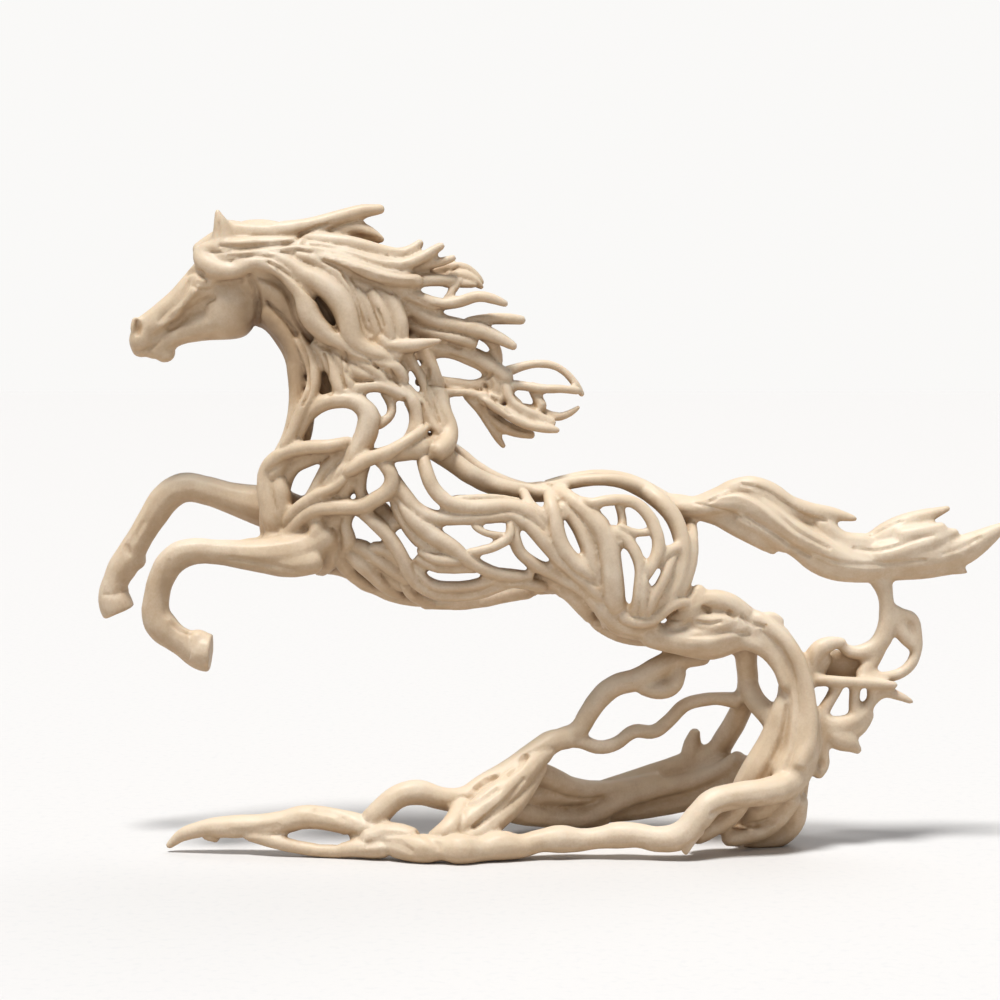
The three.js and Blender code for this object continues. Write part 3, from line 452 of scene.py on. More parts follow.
legs = {
    "nearFore": [
        [(-112, -17, 156, 7), (-124, -17, 149, 9), (-137.5, -18, 146.5, 9), (-152.5, -19, 146.5, 7.5),
         (-167.5, -20, 148, 6.4), (-180, -20, 148.2, 6.9), (-188, -20, 144.5, 7.2), (-194, -20, 136, 6.7),
         (-197, -20, 125, 6.4), (-197.4, -20, 116.5, 7.3), (-194, -20, 110, 8), (-188.5, -20, 105.2, 7),
         (-183, -20, 102, 6.9)],
        [(-118, -21, 143, 6), (-130, -21, 141.5, 6.4), (-142, -20, 142.5, 5.6), (-155, -20, 144, 4.4)],
    ],
    "farFore": [
        [(-124, 13, 165, 10), (-133, 15, 168, 11), (-144, 17, 171, 10.6), (-157.5, 19, 174.5, 8.4),
         (-172.5, 20, 178.8, 7.4), (-183.5, 20, 180.2, 7.9), (-192, 20, 175, 7.9), (-199, 20, 165, 7.2),
         (-205.5, 20, 154.5, 6.8), (-210.5, 20, 146.5, 7.3), (-213.6, 20, 141, 7.8), (-217, 20, 134.5, 7),
         (-218.4, 20, 129, 7.4)],
    ],
    "hooves": [
        [(-186.5, -20, 104, 6.6), (-181, -20, 100.4, 7.4), (-175.5, -20, 97.6, 8.8),
         (-170, -20, 97.1, 9.8)],
        [(-218, 20, 133, 6.8), (-218.6, 20, 128, 7.8), (-217.8, 20, 122.5, 8.7), (-215.6, 20, 117.6, 8.6)],
    ],
    # the thigh and the hock of both hind legs
    "hock": [
        [(50, -12, 106, 6), (66, -12, 103, 7), (80, -10, 101.5, 8), (93, -8, 106, 8.4),
         (104, -7, 109.5, 8)],
        [(62, -14, 112, 4), (70, -14, 119, 4.6), (80, -13, 124, 5), (89, -12, 122.5, 5.4),
         (96, -10, 117, 6)],
        [(52, -14, 110.5, 4), (58, -15, 105.5, 5), (70, -15, 103, 6), (84, -13, 105, 6.6),
         (94, -11, 110, 6.6), (100, -9, 113, 6)],
        [(66, -13, 118, 3.6), (72, -14, 124, 4), (75, -13, 129, 3.6)],
        [(74, -14, 114, 4), (82, -15, 112, 4.6), (91, -14, 113, 4.6)],
        [(50, 12, 107, 6), (70, 10, 103, 7), (88, 6, 104, 8), (100, 0, 108, 8)],
        [(60, 13, 118, 5), (74, 12, 124, 5), (88, 8, 121, 6), (98, 0, 114, 7)],
        [(104, -8, 113, 4), (112, -8, 115, 3), (116, -8, 113, 2.2)],
        [(110, -9, 108, 4), (118, -9, 107.5, 2.6)],
    ],
    # the near hind leg, which grows into the base like a trunk
    "trunk": [
        [(90, -7, 114, 8), (101, -7, 111, 8.4), (111, -8, 105.6, 8), (118, -9, 98.5, 7.4),
         (122.6, -10, 90, 7), (125.4, -11, 80, 6.9), (126.8, -12, 69, 7.6), (127, -13, 58, 8.6),
         (126, -14, 47, 9.6), (121, -15, 36, 10.4)],
        [(122, -9, 78, 5), (118, -8, 69, 6.6), (116, -7, 59, 8.2), (112, -6, 48, 9.4), (106, -6, 37, 10),
         (101, -5, 27, 10)],
        [(120, -4, 82, 5), (120, 0, 70, 7), (119, 2, 58, 8.6), (116, 2, 45, 10), (110, 2, 32, 11)],
        [(99.5, 8, 82, 5), (103, 4, 73.6, 5.6), (109, 0, 67, 6), (116, -4, 60, 6.6)],
        [(104, -12, 114.5, 3.6), (114, -13.5, 107, 3.8), (122, -15, 97.5, 3.8), (127.4, -16, 86, 3.6),
         (130, -17, 74, 3.6), (131, -19, 62, 3.8), (130, -21, 50, 4), (126, -23, 41, 4)],
        [(86, -11, 108, 5), (98, -11, 104, 5), (108, -11, 99, 4.6), (114.6, -12, 91, 3.8),
         (118.4, -13, 81, 3.2)],
    ],
    # the far hind leg with its root, and the two upper roots
    "farHind": [
        [(98, 2, 104, 7), (98.5, 5, 94, 5.6), (99.5, 9, 84, 5.4), (98, 14, 74, 5.6), (94, 20, 64, 5.8),
         (88.5, 27, 54.5, 6), (82.5, 33, 46.5, 6.2), (68, 38, 41, 6.2), (52, 41, 35.5, 6),
         (34, 42, 29.5, 6), (14, 41, 23.5, 6.4), (-4, 34, 24, 6.6), (-18, 20, 28, 7)],
        [(104, 12, 40, 7), (92, 24, 31, 7), (74, 35, 25, 7), (54, 41, 20.5, 6.6), (34, 44, 17.6, 6.4),
         (14, 43, 17.4, 6.4), (-4, 38, 20, 6.6), (-18, 24, 22, 7)],
        [(88, 28, 41, 7), (70, 36, 33, 7), (50, 40, 27, 6.6), (30, 42, 24, 6), (12, 40, 21, 6)],
        [(76, 4, 97, 6.4), (66, 3, 94.6, 6), (55, 2, 90, 6), (44, 2, 84, 5.9), (33, 3, 80.6, 5.7),
         (25.4, 4, 74.6, 5.6), (19.6, 4, 66.5, 5.2), (14, 4, 58, 5), (5, 3, 53.5, 5.4)],
        [(65, 1, 87, 4), (62, 0, 80.6, 4.4), (55, 0, 78, 4.4), (47, 1, 79.6, 4)],
        [(94, 10, 73, 4.4), (85, 11, 74, 3.6), (77.5, 12, 73.5, 3.4), (67.5, 11, 70.5, 3.4),
         (60, 10, 63, 3.6), (52.5, 8, 57.5, 3.8), (42.5, 6, 57.5, 3.6), (32.5, 5, 51, 3.6),
         (25, 4, 49.5, 3.6), (15, 4, 52.5, 3.6), (4, 2, 53, 4)],
        [(71, 36, 46, 5.4), (72, 36, 52, 4.6), (73, 35, 56.6, 3)],
        [(2, 28, 13, 5), (13, 31, 13.4, 5.4), (26, 33, 18, 5.6), (38, 34, 23.6, 5.4), (52, 33, 28, 5),
         (68, 30, 31.6, 4.6), (84, 24, 37, 4.6), (95, 16, 43, 5)],
    ],
}

tail = {
    # its solid middle
    "core": [
        [(78, 0, 171.5, 5.6), (90, 0, 171, 8), (102, 0, 168.5, 8.6), (114, 0, 162, 8.6),
         (127, 0, 154.5, 8.2), (140, 0, 148.5, 7.6), (156, 0, 146, 7.6), (172, 0, 148, 8),
         (188, 0, 150, 7.4), (202, 0, 150, 6)],
    ],
    # its locks
    "plume": [
        [(58, 0, 172, 5), (70, 0, 171, 4.8), (84, 0, 175.5, 5.2), (93, -2, 179.5, 5.4),
         (102, -3, 180.5, 5.4), (111, -3, 177, 5.4), (120, -2, 171, 5.2), (131, 0, 168, 4.8),
         (142, 1, 166.8, 3.6), (153, 1, 164.5, 1.4)],
        [(60, -2, 170, 4.6), (74, -3, 170, 5), (86, -5, 173, 5.4), (98, -6, 172, 6), (110, -7, 166, 6),
         (121, -7, 158.5, 6), (132, -6, 152, 6), (142, -5, 146, 6), (153, -4, 142, 6), (165, -3, 141, 6)],
        [(70, 0, 169, 4.4), (84, 0, 166, 5.4), (94, -2, 160.5, 5.4), (102, -3, 155.6, 4.6),
         (109, -2, 150.6, 3.4), (112, -2, 148, 2)],
        [(110, -4, 158, 6), (118, -3, 154, 5.6), (126, -3, 148.5, 5.6), (134, -2, 142.5, 5.8),
         (145, -2, 139, 6), (160, -1, 138.6, 6), (175, 0, 139.6, 6), (190, 0, 140.2, 5.6),
         (200, 0, 140.2, 4.2), (206, 0, 138.6, 2.2), (209, 0, 137.6, 1)],
        [(190, 0, 144, 5), (203, 0, 144.4, 5), (212.5, 0, 149, 4.4), (221, 0, 155.6, 3.4),
         (228.6, 0, 161.8, 1.4)],
        [(96, -4, 166, 6), (108, -5, 160, 6), (118, -5, 152, 5)],
        [(132, 1, 166, 4), (138, 0, 160, 5), (146, 0, 154, 5), (158, 0, 152, 5.4)],
        [(150, 1, 148, 6), (161, 2, 151.5, 6.4), (171, 2, 158, 6.4), (182, 2, 164, 4.8), (191, 2, 167, 3.4),
         (199.5, 2, 170, 1.4)],
        [(165, -3, 146, 7), (180, -3, 150, 7), (193, -3, 154.5, 5.6), (203, -2, 158, 2)],
        [(168, -1, 143, 7), (188, -1, 146, 8), (204, 0, 149, 7.4), (215, 0, 154, 5.4), (224, 0, 159, 3.4),
         (230, 0, 163, 1.4)],
        [(176, -4, 156, 4), (186, -4, 158, 4), (196, -3, 160, 3)],
    ],
    # those that only the far side has
    "farPlume": [
        [(70, 3, 170, 4.6), (86, 5, 170, 5.4), (100, 6, 167, 5.8), (112, 6, 161, 5.8), (124, 6, 154, 5.6),
         (136, 5, 147, 5.6), (148, 4, 144, 5.6), (165, 3, 144, 6), (182, 3, 146, 6)],
        [(92, 4, 176, 5), (104, 5, 175, 5), (116, 5, 169, 5), (128, 4, 162, 4.4), (136, 3, 158, 4)],
    ],
    # the leafy stay that holds the tail up
    "stay": [
        [(165, 0, 136, 5.6), (168, 0, 127, 4.2), (168.8, 0, 117, 4), (168.2, 0, 108, 4.6),
         (164.6, 0, 101.4, 4.8), (157.6, -1, 97.8, 4.2), (150, -2, 98, 3.4), (145.6, -3, 101.6, 2.4)],
        [(166, 0, 103, 4.4), (162, 0, 94, 4.4), (157, -3, 86, 4)],
        [(169, 0, 120, 3.6), (176, 2, 116.5, 3.4), (181.5, 3, 114, 3.4), (184, 3, 106.5, 3),
         (183.5, 2, 97, 3), (179.5, 0, 89.5, 3), (172, -2, 85.6, 3), (160, -4, 85, 3)],
        [(131, -6, 83, 4), (130.8, -6, 91, 4.4), (134, -6, 98, 4.6), (140.4, -5, 101.6, 4),
         (147, -4, 102.6, 2.4)],
        [(134, -2, 88, 5), (137, -1, 95, 5)],
        [(126, -8, 82, 4), (133, -8, 83, 3.2), (142.5, -9, 83, 2.8), (157.5, -9, 82, 2.8),
         (166, -9, 81.5, 2.6), (173.5, -9, 81, 1.8)],
        [(145, -7, 82, 3.4), (141, -7, 74, 3), (137.5, -8, 68, 3.2), (134, -9, 61, 4)],
        [(153.5, -7, 82, 3.2), (153, -6, 74, 2.8), (153.5, -6, 66, 3.2)],
        [(162, -6, 80, 3), (161.5, -5, 73, 2.6), (158.5, -5, 66, 3)],
        [(157, -5, 64, 3.2), (161, -5, 72, 3), (167.5, -5, 77, 2.8), (175, -6, 75.6, 2.4),
         (182, -6, 72.4, 1.2)],
        [(171, 0, 119, 2.8), (174.6, 1, 111, 3.6), (178, 1, 105, 3.4), (182, 1, 100, 2.4)],
        [(134, -9, 64, 4), (142, -8, 60, 5.4), (150, -7, 61.6, 4.6), (158, -6, 67, 3)],
        [(136, -9, 59, 4.4), (143.5, -8, 55, 5.8), (150.6, -7, 51.6, 5), (155, -6, 48, 2.4)],
        [(148, -6, 57, 5), (155, -5, 59, 4), (161, -5, 66, 2.4)],
        [(137, -10, 54, 3.4), (137.5, -10, 46, 3), (138, -10, 40, 2.6), (135, -11, 36, 3)],
    ],
}

roots = {
    # the near root, from the trunk along the floor, and the foot under the trunk
    "front": [
        [(126, -13, 44, 7.5), (123, -17, 36, 8), (118, -22, 30, 7.5), (109, -27, 27, 7), (95, -30, 25, 6.6),
         (82, -33, 21.5, 6.6), (75, -35, 14, 7), (67.5, -36, 5.2, 7.2), (55, -35, 2.8, 6.6),
         (45, -34, 4.6, 6), (35, -33, 4.8, 6.8), (25, -32.5, 3.4, 5.6), (15, -32, 2.4, 6),
         (5, -33, 2.8, 6.9), (-5, -34, 1.8, 5.8), (-15, -36, -0.8, 6.2), (-25, -38, -0.4, 7.6),
         (-35, -41, -2.4, 6.2), (-45, -44, -2.4, 7.8), (-54, -43, -1.8, 6.2), (-62, -42, -2, 7.4),
         (-76, -37, 0, 7), (-88, -31, 5, 6.4)],
        [(120, -10, 30, 9), (112, 0, 21, 10), (104, 8, 12, 9), (96, 10, 9, 7)],
        [(124, -8, 34, 7), (121, 0, 22, 8), (116, 6, 14, 8)],
        [(98, -28, 26, 5), (92, -22, 17, 6), (82, -20, 10, 6), (74, -24, 6, 6)],
        [(112, -18, 26, 7), (104, -12, 18, 8), (98, -4, 12, 8)],
        [(120, -15, 24, 7), (112, -12, 13, 6.4), (101, -13, 6, 5.4), (90, -17, 3.4, 4.4)],
        [(124, -10, 22, 6.4), (122, -5, 11, 6), (114, -3, 4, 6), (101, -5, 1.6, 5)],
        [(74, -36, 8, 5), (69.6, -38, 0.6, 3.6), (68.6, -39, -4.6, 1.6)],
    ],
    # the root that runs ahead under the forelegs, and the arms that join it to the others
    "left": [
        [(-192, -18, -0.6, 1.9), (-189, -18, 2, 2.6), (-184.5, -19, 5.2, 3.6), (-175.5, -20, 8, 4.4),
         (-165.5, -21, 9, 5.4), (-146, -23, 9.4, 6.2), (-134, -24, 11.5, 6), (-124, -25, 14, 6),
         (-109, -26, 12.6, 6), (-98, -27, 9.8, 6.4), (-88, -29, 7, 6.4), (-79, -32, 4, 5)],
        [(-158, -22.5, 8, 3.4), (-148, -25, 4.6, 3.8), (-137, -27.6, 1, 3.6), (-125, -29, -1.6, 3.4),
         (-110, -31, -3.4, 3.6), (-98, -33, -2, 4.6), (-87, -35, -1, 6), (-78, -37, 0, 5)],
        [(-172, -19, 6, 4), (-168, -19, 2.6, 2)],
        [(-97, -27, 6, 5.4), (-91, -27, 10.6, 6.2), (-84, -27, 18, 6.2), (-76, -26, 24.6, 6),
         (-66, -24, 26.5, 6.4), (-54, -22, 23.4, 5.8), (-43, -18, 23, 6.6), (-33, -14, 28, 7.6),
         (-17, -8, 36.5, 8.4), (-6, -3, 46, 7.4), (2, 0, 52.5, 6), (9, 2, 53.5, 5)],
        [(-54, -38, 2, 5.4), (-45, -34, 8, 6.6), (-35, -28, 16.5, 7.4), (-25, -21, 25.5, 7.4),
         (-16, -14, 34, 7), (-8, -8, 42, 6), (-1, -3, 48, 5)],
        [(-50, -40, -1, 6), (-40, -36, 3, 6.2), (-30, -29, 10, 6), (-22, -22, 17, 5.8),
         (-14.5, -15, 25, 5.4), (-9.5, -9, 33, 5), (-5, -5, 40, 4.4)],
        [(-90, -33, 3, 6), (-80, -34, 5, 6.4), (-70, -37, 3, 6)],
        [(-58, -40, 2, 5), (-50, -37, 8, 6), (-46, -30, 14, 6), (-44, -24, 19, 5.4)],
        [(-30, -2, 22, 7), (-14, 8, 26, 7.4), (-2, 16, 27, 7), (12, 27, 26, 6), (28, 36, 27, 5)],
        [(-26, -12, 20, 6), (-14, 4, 16, 6), (-3, 20, 15, 6.4), (10, 31, 14, 6.4), (26, 39, 14.6, 6)],
        [(-10, 4, 38, 6), (0, 10, 34, 6), (12, 22, 29, 5.4), (27, 33, 28, 4.8), (41, 34, 30, 4.4),
         (54, 33, 33, 4)],
    ],
}


def flankDepth(x, z, r):
    sections = barrel["sections"]
    along = [s[0] for s in sections]
    back = np.interp(x, along, [s[1] for s in sections])
    belly = np.interp(x, along, [s[2] for s in sections])
    half = np.interp(x, along, [s[3] for s in sections])
    tall = max((back - belly) / 2 - r, 1)
    height = min(abs(z - (back + belly) / 2) / tall, 1)
    return (half - r) * (1 - height ** barrel["roundness"]) ** (1 / barrel["roundness"])


def onFlank(routes, lift):
    placed = []
    for number, route in enumerate(routes):
        over = lift + clay["weave"] * math.sin(clay["weaveTurn"] * number)
        grown = []
        for x, z, r in route:
            ends = min(math.dist((x, z), route[0][:2]), math.dist((x, z), route[-1][:2]))
            free = min(ends / clay["sinkLength"], 1)
            rise = over * min(ends / clay["riseLength"], 1) - clay["sink"] * r * (1 - free)
            depth = max(flankDepth(x, z, r) + rise, 0)
            grown.append((x, -depth, z, r * (1 - clay["taper"] + clay["taper"] * free)))
        placed.append(grown)
    return bothSides(placed)


# every branch and lump, joined and remeshed as one skin
plain = head["bones"] + bothSides(head["sideBones"]) + neck["core"] + legs["nearFore"] + legs["farFore"]
plain += legs["hock"] + legs["trunk"] + legs["farHind"] + onFlank(barrel["arch"], 0)
plain += barrel["croup"] + bothSides(barrel["croupSides"])
plain += tail["core"] + tail["plume"] + tail["farPlume"] + tail["stay"]
strands = bothSides(neck["locks"]) + mane["crest"] + bothSides(mane["locks"]) + mane["wisps"] + mane["fan"]
for lift, layer in barrel["layers"].items():
    strands += onFlank(layer, lift)
strands += barrel["backbone"]
strands += roots["front"] + roots["left"]
routes = [domed(route) for route in plain + strands] + legs["hooves"]

# where branches alone leave a hollow: middle, then half length, width and height
fillers = [
    (-122, -13, 152, 13, 8, 11),  # near breast
    (-122, 8, 154, 12, 7, 12),  # far breast
    (-138, -13, 152, 7, 6, 7),  # where the near foreleg leaves it
    (78, -3, 110, 20, 12, 10),  # hock
    (80, -9, 117, 11, 7, 8),
    (93, -7, 112, 10, 7, 8),
    (70, -9, 108, 12, 8, 7),
    (-176.5, -20, 104.4, 6, 6, 4.6),  # heel of the near hoof
    (-207.6, 20, 143.8, 5.4, 5.4, 5.2),  # far fetlock
    (108, 2, 14, 15, 13, 12),  # foot of the trunk
    (147, 4, 90.4, 14, 3.6, 9),  # back of the bowl on the tail's stay
]
lumps = [addLump(*lump) for lump in head["lumps"] + fillers]
horse = growBranches("horse_skin", routes)
for lump in lumps:
    lump.select_set(True)
horse.select_set(True)
bpy.context.view_layer.objects.active = horse
bpy.ops.object.join()
bpy.ops.object.transform_apply(location=True, rotation=True, scale=True)
print("branches grown:", len(routes))

applyModifier(horse, "REMESH", mode="VOXEL", voxel_size=clay["voxel"] * mm)
applyModifier(horse, "DISPLACE", strength=clay["web"] * mm, mid_level=0)
applyModifier(horse, "REMESH", mode="VOXEL", voxel_size=clay["voxel"] * mm)
applyModifier(horse, "DISPLACE", strength=-clay["web"] * mm, mid_level=0)
applyModifier(horse, "REMESH", mode="VOXEL", voxel_size=clay["voxel"] * mm)
applyModifier(horse, "SMOOTH", factor=0.5, iterations=clay["smoothing"])
print("skin remeshed:", len(horse.data.polygons), "faces")

# fine strokes pressed into the skin, or raised from it where the depth is negative
carving = {
    "face": [
        (0.7, [(-207, 247.4, 1), (-202, 248.6, 1.3), (-197.6, 250.8, 1.3), (-194.6, 253.4, 1)]),
        (2, [(-206, 263.4, 2.2), (-205.4, 260.4, 2.8), (-205.6, 257.2, 2.2)]),
        (1.5, [(-181.5, 286.6, 2.4), (-177.5, 288, 2.8), (-173, 287, 2.6)]),
        (-1.2, [(-175, 283.4, 2.2), (-172.6, 282.6, 2.2)]),
        (0.8, [(-178, 281, 1.2), (-175.4, 279.2, 1.2), (-171, 278.8, 1.2)]),
        (2, [(-150.6, 253.5, 2.2), (-146.4, 262, 2.8), (-145.6, 270, 3), (-146.4, 278, 3),
             (-149, 285, 2.6)]),
        (1.5, [(-190, 259.6, 2.4), (-184, 263, 2.8), (-180, 268, 2.8), (-174, 272, 2.8),
               (-168, 274.6, 2.4)]),
        (1, [(-194.5, 264, 2), (-189, 269.5, 2.4), (-185, 272.6, 2.4), (-181.5, 278, 2.4), (-180, 283, 2)]),
        (-0.8, [(-193, 261.4, 1.6), (-187, 265.6, 1.7), (-183.6, 270, 1.7), (-178, 276, 1.7),
                (-175, 280, 1.6)]),
        (0.8, [(-167, 281, 2.4), (-160, 283, 2.4), (-154, 283, 2.2)]),
        (0.8, [(-164.6, 305.4, 1.8), (-164.4, 308.6, 1.8), (-164.8, 312.4, 1.2)]),
    ],
    "neck": [
        (1.49, [(-141, 272.5, 1.5), (-135, 267, 1.9), (-130, 261.5, 2), (-125, 254, 2), (-122, 246.5, 1.9),
                (-120.6, 236.5, 1.7), (-121, 228, 1.5), (-123.5, 221.5, 1.2)]),
        (1.36, [(-146, 285, 2.4), (-138, 283, 2.8), (-131.5, 279, 2.8), (-128.6, 271.5, 2.6),
                (-126.4, 264, 2.4), (-121, 256.5, 2.2), (-115.5, 251.6, 2.2), (-108, 248.5, 2),
                (-101, 243.5, 1.6)]),
        (1.61, [(-140, 292.5, 1.6), (-132.5, 288, 2), (-125, 282.5, 2.2), (-118.5, 276.5, 2.4),
                (-113.5, 270, 2.5), (-109, 263, 2.2), (-106, 258.5, 1.5)]),
        (1.36, [(-102.5, 286, 1.4), (-98.5, 280, 1.8), (-96, 274, 2), (-94.2, 267, 2), (-92.4, 261, 2),
                (-89.4, 257, 1.5)]),
        (1.12, [(-113, 293, 1.6), (-104, 289.4, 2.4), (-97, 285.6, 2.8), (-90, 282.4, 2.6), (-84, 280, 2),
                (-79, 277, 1.4)]),
        (1.05, [(-86, 269, 1.1), (-84.6, 265.4, 1.5), (-83, 261, 1.1)]),
        (1.12, [(-79.4, 239, 1), (-77.6, 234.6, 1.4), (-74.6, 231, 1)]),
        (0.99, [(-102.4, 247.4, 1.2), (-101, 244, 1.2)]),
        (1.12, [(-90, 244.5, 1), (-88, 242, 1.2), (-86, 240, 1)]),
        (1.12, [(-101.6, 238.4, 1.4), (-98.6, 235, 1.8), (-94, 233.4, 1.8), (-88, 233.6, 1.2)]),
        (1.49, [(-112.6, 247, 1.4), (-111.4, 240, 1.8), (-110.6, 232.6, 2.4), (-109.6, 227, 2)]),
        (0.87, [(-103.6, 246, 1.1), (-104, 238, 1.3), (-102, 230, 1.1)]),
        (1.12, [(-73, 224.5, 1.2), (-71, 218, 1.6), (-72, 211.5, 1.5), (-75.5, 205.5, 1.2)]),
        (1.12, [(-64, 222, 1), (-62.8, 216, 1.2), (-62.6, 211, 1)]),
        (1.12, [(-60.6, 239, 1.2), (-60.6, 230, 1.5), (-57.6, 221, 1.6), (-55.4, 213, 1.3)]),
    ],
    "mane": [
        (1.24, [(-164, 300.6, 1.8), (-156, 299.6, 2.6), (-146, 300, 2.6), (-136, 300.6, 2.4),
                (-128, 302.6, 2), (-124, 306, 1.6), (-118, 309, 1.5), (-110, 311.4, 1.3)]),
        (0.6, [(-160, 295.4, 1.4), (-148, 295.4, 1.6), (-138, 295, 1.6)]),
        (0.6, [(-126, 298.6, 1.4), (-112, 296, 1.6), (-100, 294, 1.7), (-88, 290.4, 1.7), (-78, 287.4, 1.5),
               (-68, 287, 1.1)]),
        (0.45, [(-119, 301, 1.4), (-106, 299.4, 1.5), (-94, 297, 1.5), (-84, 294, 1.4), (-74, 293.4, 1.1)]),
        (0.5, [(-96, 306, 1.2), (-90, 305, 1.6), (-85, 304, 1)]),
        (-0.43, [(-104, 291.4, 1.2), (-94, 289.4, 1.3), (-85, 286.4, 1.3), (-75, 284.4, 1.2),
                 (-68, 284, 1)]),
        (0.87, [(-56, 268.6, 1), (-48, 267.4, 1.4), (-40, 268.4, 1)]),
        (0.56, [(-72, 277.4, 1), (-60, 271, 1.2), (-50, 268.6, 1)]),
        (0.56, [(-70, 262.4, 1), (-56, 258.6, 1.2), (-44, 257, 1.1), (-34, 253, 1)]),
        (0.99, [(-60, 231.4, 1), (-50, 230.4, 1.4), (-40, 230, 1.4), (-34, 229, 1)]),
        (0.99, [(-53, 253.4, 1), (-48, 251, 1.5), (-44, 249.6, 1)]),
        (0.99, [(-32.6, 231.6, 1), (-29.6, 226, 1.3), (-24.6, 221, 1.3), (-20, 217, 1)]),
        (1.12, [(-31, 234.6, 1), (-29, 236.6, 1.1)]),
        (0.81, [(-34, 223, 1), (-27, 216, 1.3), (-19, 211, 1.3), (-12, 208.4, 1)]),
        (0.68, [(-50, 246, 1.2), (-40, 242.6, 1.6), (-32, 237, 1.4)]),
        (0.74, [(-49.5, 288, 0.9), (-45.6, 290, 1.2)]),
    ],
    "tail": [
        (1.04, [(80, 173.4, 1.6), (88, 177, 2), (96, 178, 2), (104, 174.6, 2.2), (114, 167, 2.4),
                (123.5, 158.5, 2.2), (132.5, 153.5, 1.8), (140, 150, 1.5)]),
        (0.91, [(96, 182, 1.6), (108, 178.6, 1.8), (118, 172, 1.8), (128, 166, 1.6), (138, 163.6, 1.4)]),
        (0.98, [(98, 166, 1.6), (106, 161, 2), (114, 156, 2), (122, 150.4, 1.8), (130, 145.6, 1.5)]),
        (0.78, [(132, 147, 1.4), (142, 143.4, 1.8), (156, 141.4, 2), (172, 142.4, 2), (188, 144, 1.6)]),
        (0.91, [(152, 150, 1.4), (162, 148.6, 1.8), (172, 150.4, 2), (182, 154, 1.8), (192, 156.6, 1.4)]),
        (0.91, [(160, 156, 1.2), (168, 160, 1.6), (176, 163.6, 1.4)]),
        (0.72, [(196, 146.6, 1.4), (206, 150, 1.6), (216, 155.6, 1.3)]),
        (-0.59, [(84, 175, 1.4), (94, 175.6, 1.6), (104, 171, 1.7), (114, 163, 1.7), (124, 155.4, 1.5)]),
        (0.65, [(72, 172.6, 1.2), (82, 170, 1.5), (92, 167, 1.5), (100, 162, 1.3)]),
    ],
    "trunk": [
        (0.8, [(106, 108, 1.8), (115, 100, 2.4), (120.6, 90, 2.4), (123.4, 78, 2.4), (124.4, 64, 2.6),
               (123, 50, 2.4), (119, 38, 1.8)]),
        (0.7, [(119, 70, 2), (118.6, 60, 2.6), (115, 48, 2.6), (110, 38, 2)]),
        (1.8, [(77, 120, 2), (79.6, 118.6, 2.4)]),
        (1.6, [(89.6, 117.4, 2), (93, 115.4, 2.2)]),
        (1.3, [(74, 112.6, 1.8), (80.6, 111.6, 2.2), (86, 113, 1.8)]),
        (1.6, [(60.6, 114.4, 2), (65, 113.6, 2.4)]),
        (1, [(70, 106, 1.8), (80, 106, 2.2), (90, 107.6, 2.2), (100, 106, 1.8)]),
        (1, [(96, 115.6, 1.6), (101, 112, 2), (107, 110.4, 1.6)]),
    ],
    "roots": [
        (1.8, [(-37, 28.4, 2.4), (-32, 31.6, 3.6), (-27.6, 34, 2.6)]),
        (1.8, [(-20.6, 36, 2.2), (-16.4, 40, 3.2), (-12, 44.6, 2.4)]),
        (1.2, [(-41, 20, 2.2), (-34, 22.6, 2.6), (-26, 28, 2.2)]),
        (1.2, [(-38, 9, 2), (-30, 15.6, 2.4), (-21.6, 23, 2.4), (-13, 33, 2)]),
        (1, [(-92, 0, 2.4), (-84, 1.6, 3), (-76, 0.4, 3), (-70, -3, 2.4)]),
        (1, [(-66, 6, 2.4), (-60, 2.6, 3.2), (-56, -1, 2.6)]),
        (1, [(82, 15.4, 2.6), (90, 18.6, 3), (98, 19, 3), (106, 20.6, 2.6)]),
        (1, [(96, 9, 2.8), (104, 10.4, 3.4), (112, 12, 3)]),
        (0.9, [(-118, 17.4, 2.4), (-110, 16.4, 3), (-103, 13, 2.4)]),
        (0.7, [(-160, 7, 2), (-148, 7.4, 2.6), (-137, 9.4, 2.2)]),
    ],
    "legs": [
        (0.8, [(-160, 145, 1.8), (-148, 143, 2.4), (-138, 141, 2.6), (-129, 139, 2.2)]),
        (0.6, [(-191, 143, 2.4), (-192.4, 134, 2.4), (-193.4, 124, 2.4), (-192, 116, 2.4)]),
        (0.7, [(-189.6, 111.6, 2), (-185, 108, 2), (-180, 106.6, 1.6)]),
        (0.5, [(-182, 107.6, 1.4), (-180, 101, 1.6), (-181, 94.6, 1.4)]),
        (1.2, [(-212, 150.4, 2.8), (-211, 147.4, 3)]),
        (0.6, [(-224, 126.4, 1.4), (-218, 126.8, 1.6), (-211.6, 129, 1.4)]),
        (0.6, [(-203, 163, 2.2), (-208.6, 153.6, 2)]),
    ],
}


def smoothRoute(points, step):
    points = np.array(points, float)
    ends = [2 * points[0] - points[1]] + list(points) + [2 * points[-1] - points[-2]]
    samples = []
    for p0, p1, p2, p3 in zip(ends, ends[1:], ends[2:], ends[3:]):
        count = max(int(np.linalg.norm(p2[:-1] - p1[:-1]) / step), 1)
        for t in np.arange(count) / count:
            samples.append(
                0.5 * (2 * p1 + (p2 - p0) * t + (2 * p0 - 5 * p1 + 4 * p2 - p3) * t**2
                       + (3 * p1 - p0 - 3 * p2 + p3) * t**3)
            )
    samples.append(points[-1])
    return samples


def readVectors(items, name):
    flat = np.empty(len(items) * 3, np.float32)
    items.foreach_get(name, flat)
    return flat.reshape(-1, 3)


def nearbyFinder(points):
    finder = KDTree(len(points))
    for index, point in enumerate(points):
        finder.insert(point, index)
    finder.balance()
    return finder


def pressIn(mesh, points, depths):
    points -= readVectors(mesh.vertices, "normal") * depths[:, None] * mm
    mesh.vertices.foreach_set("co", points.ravel())
    mesh.update()


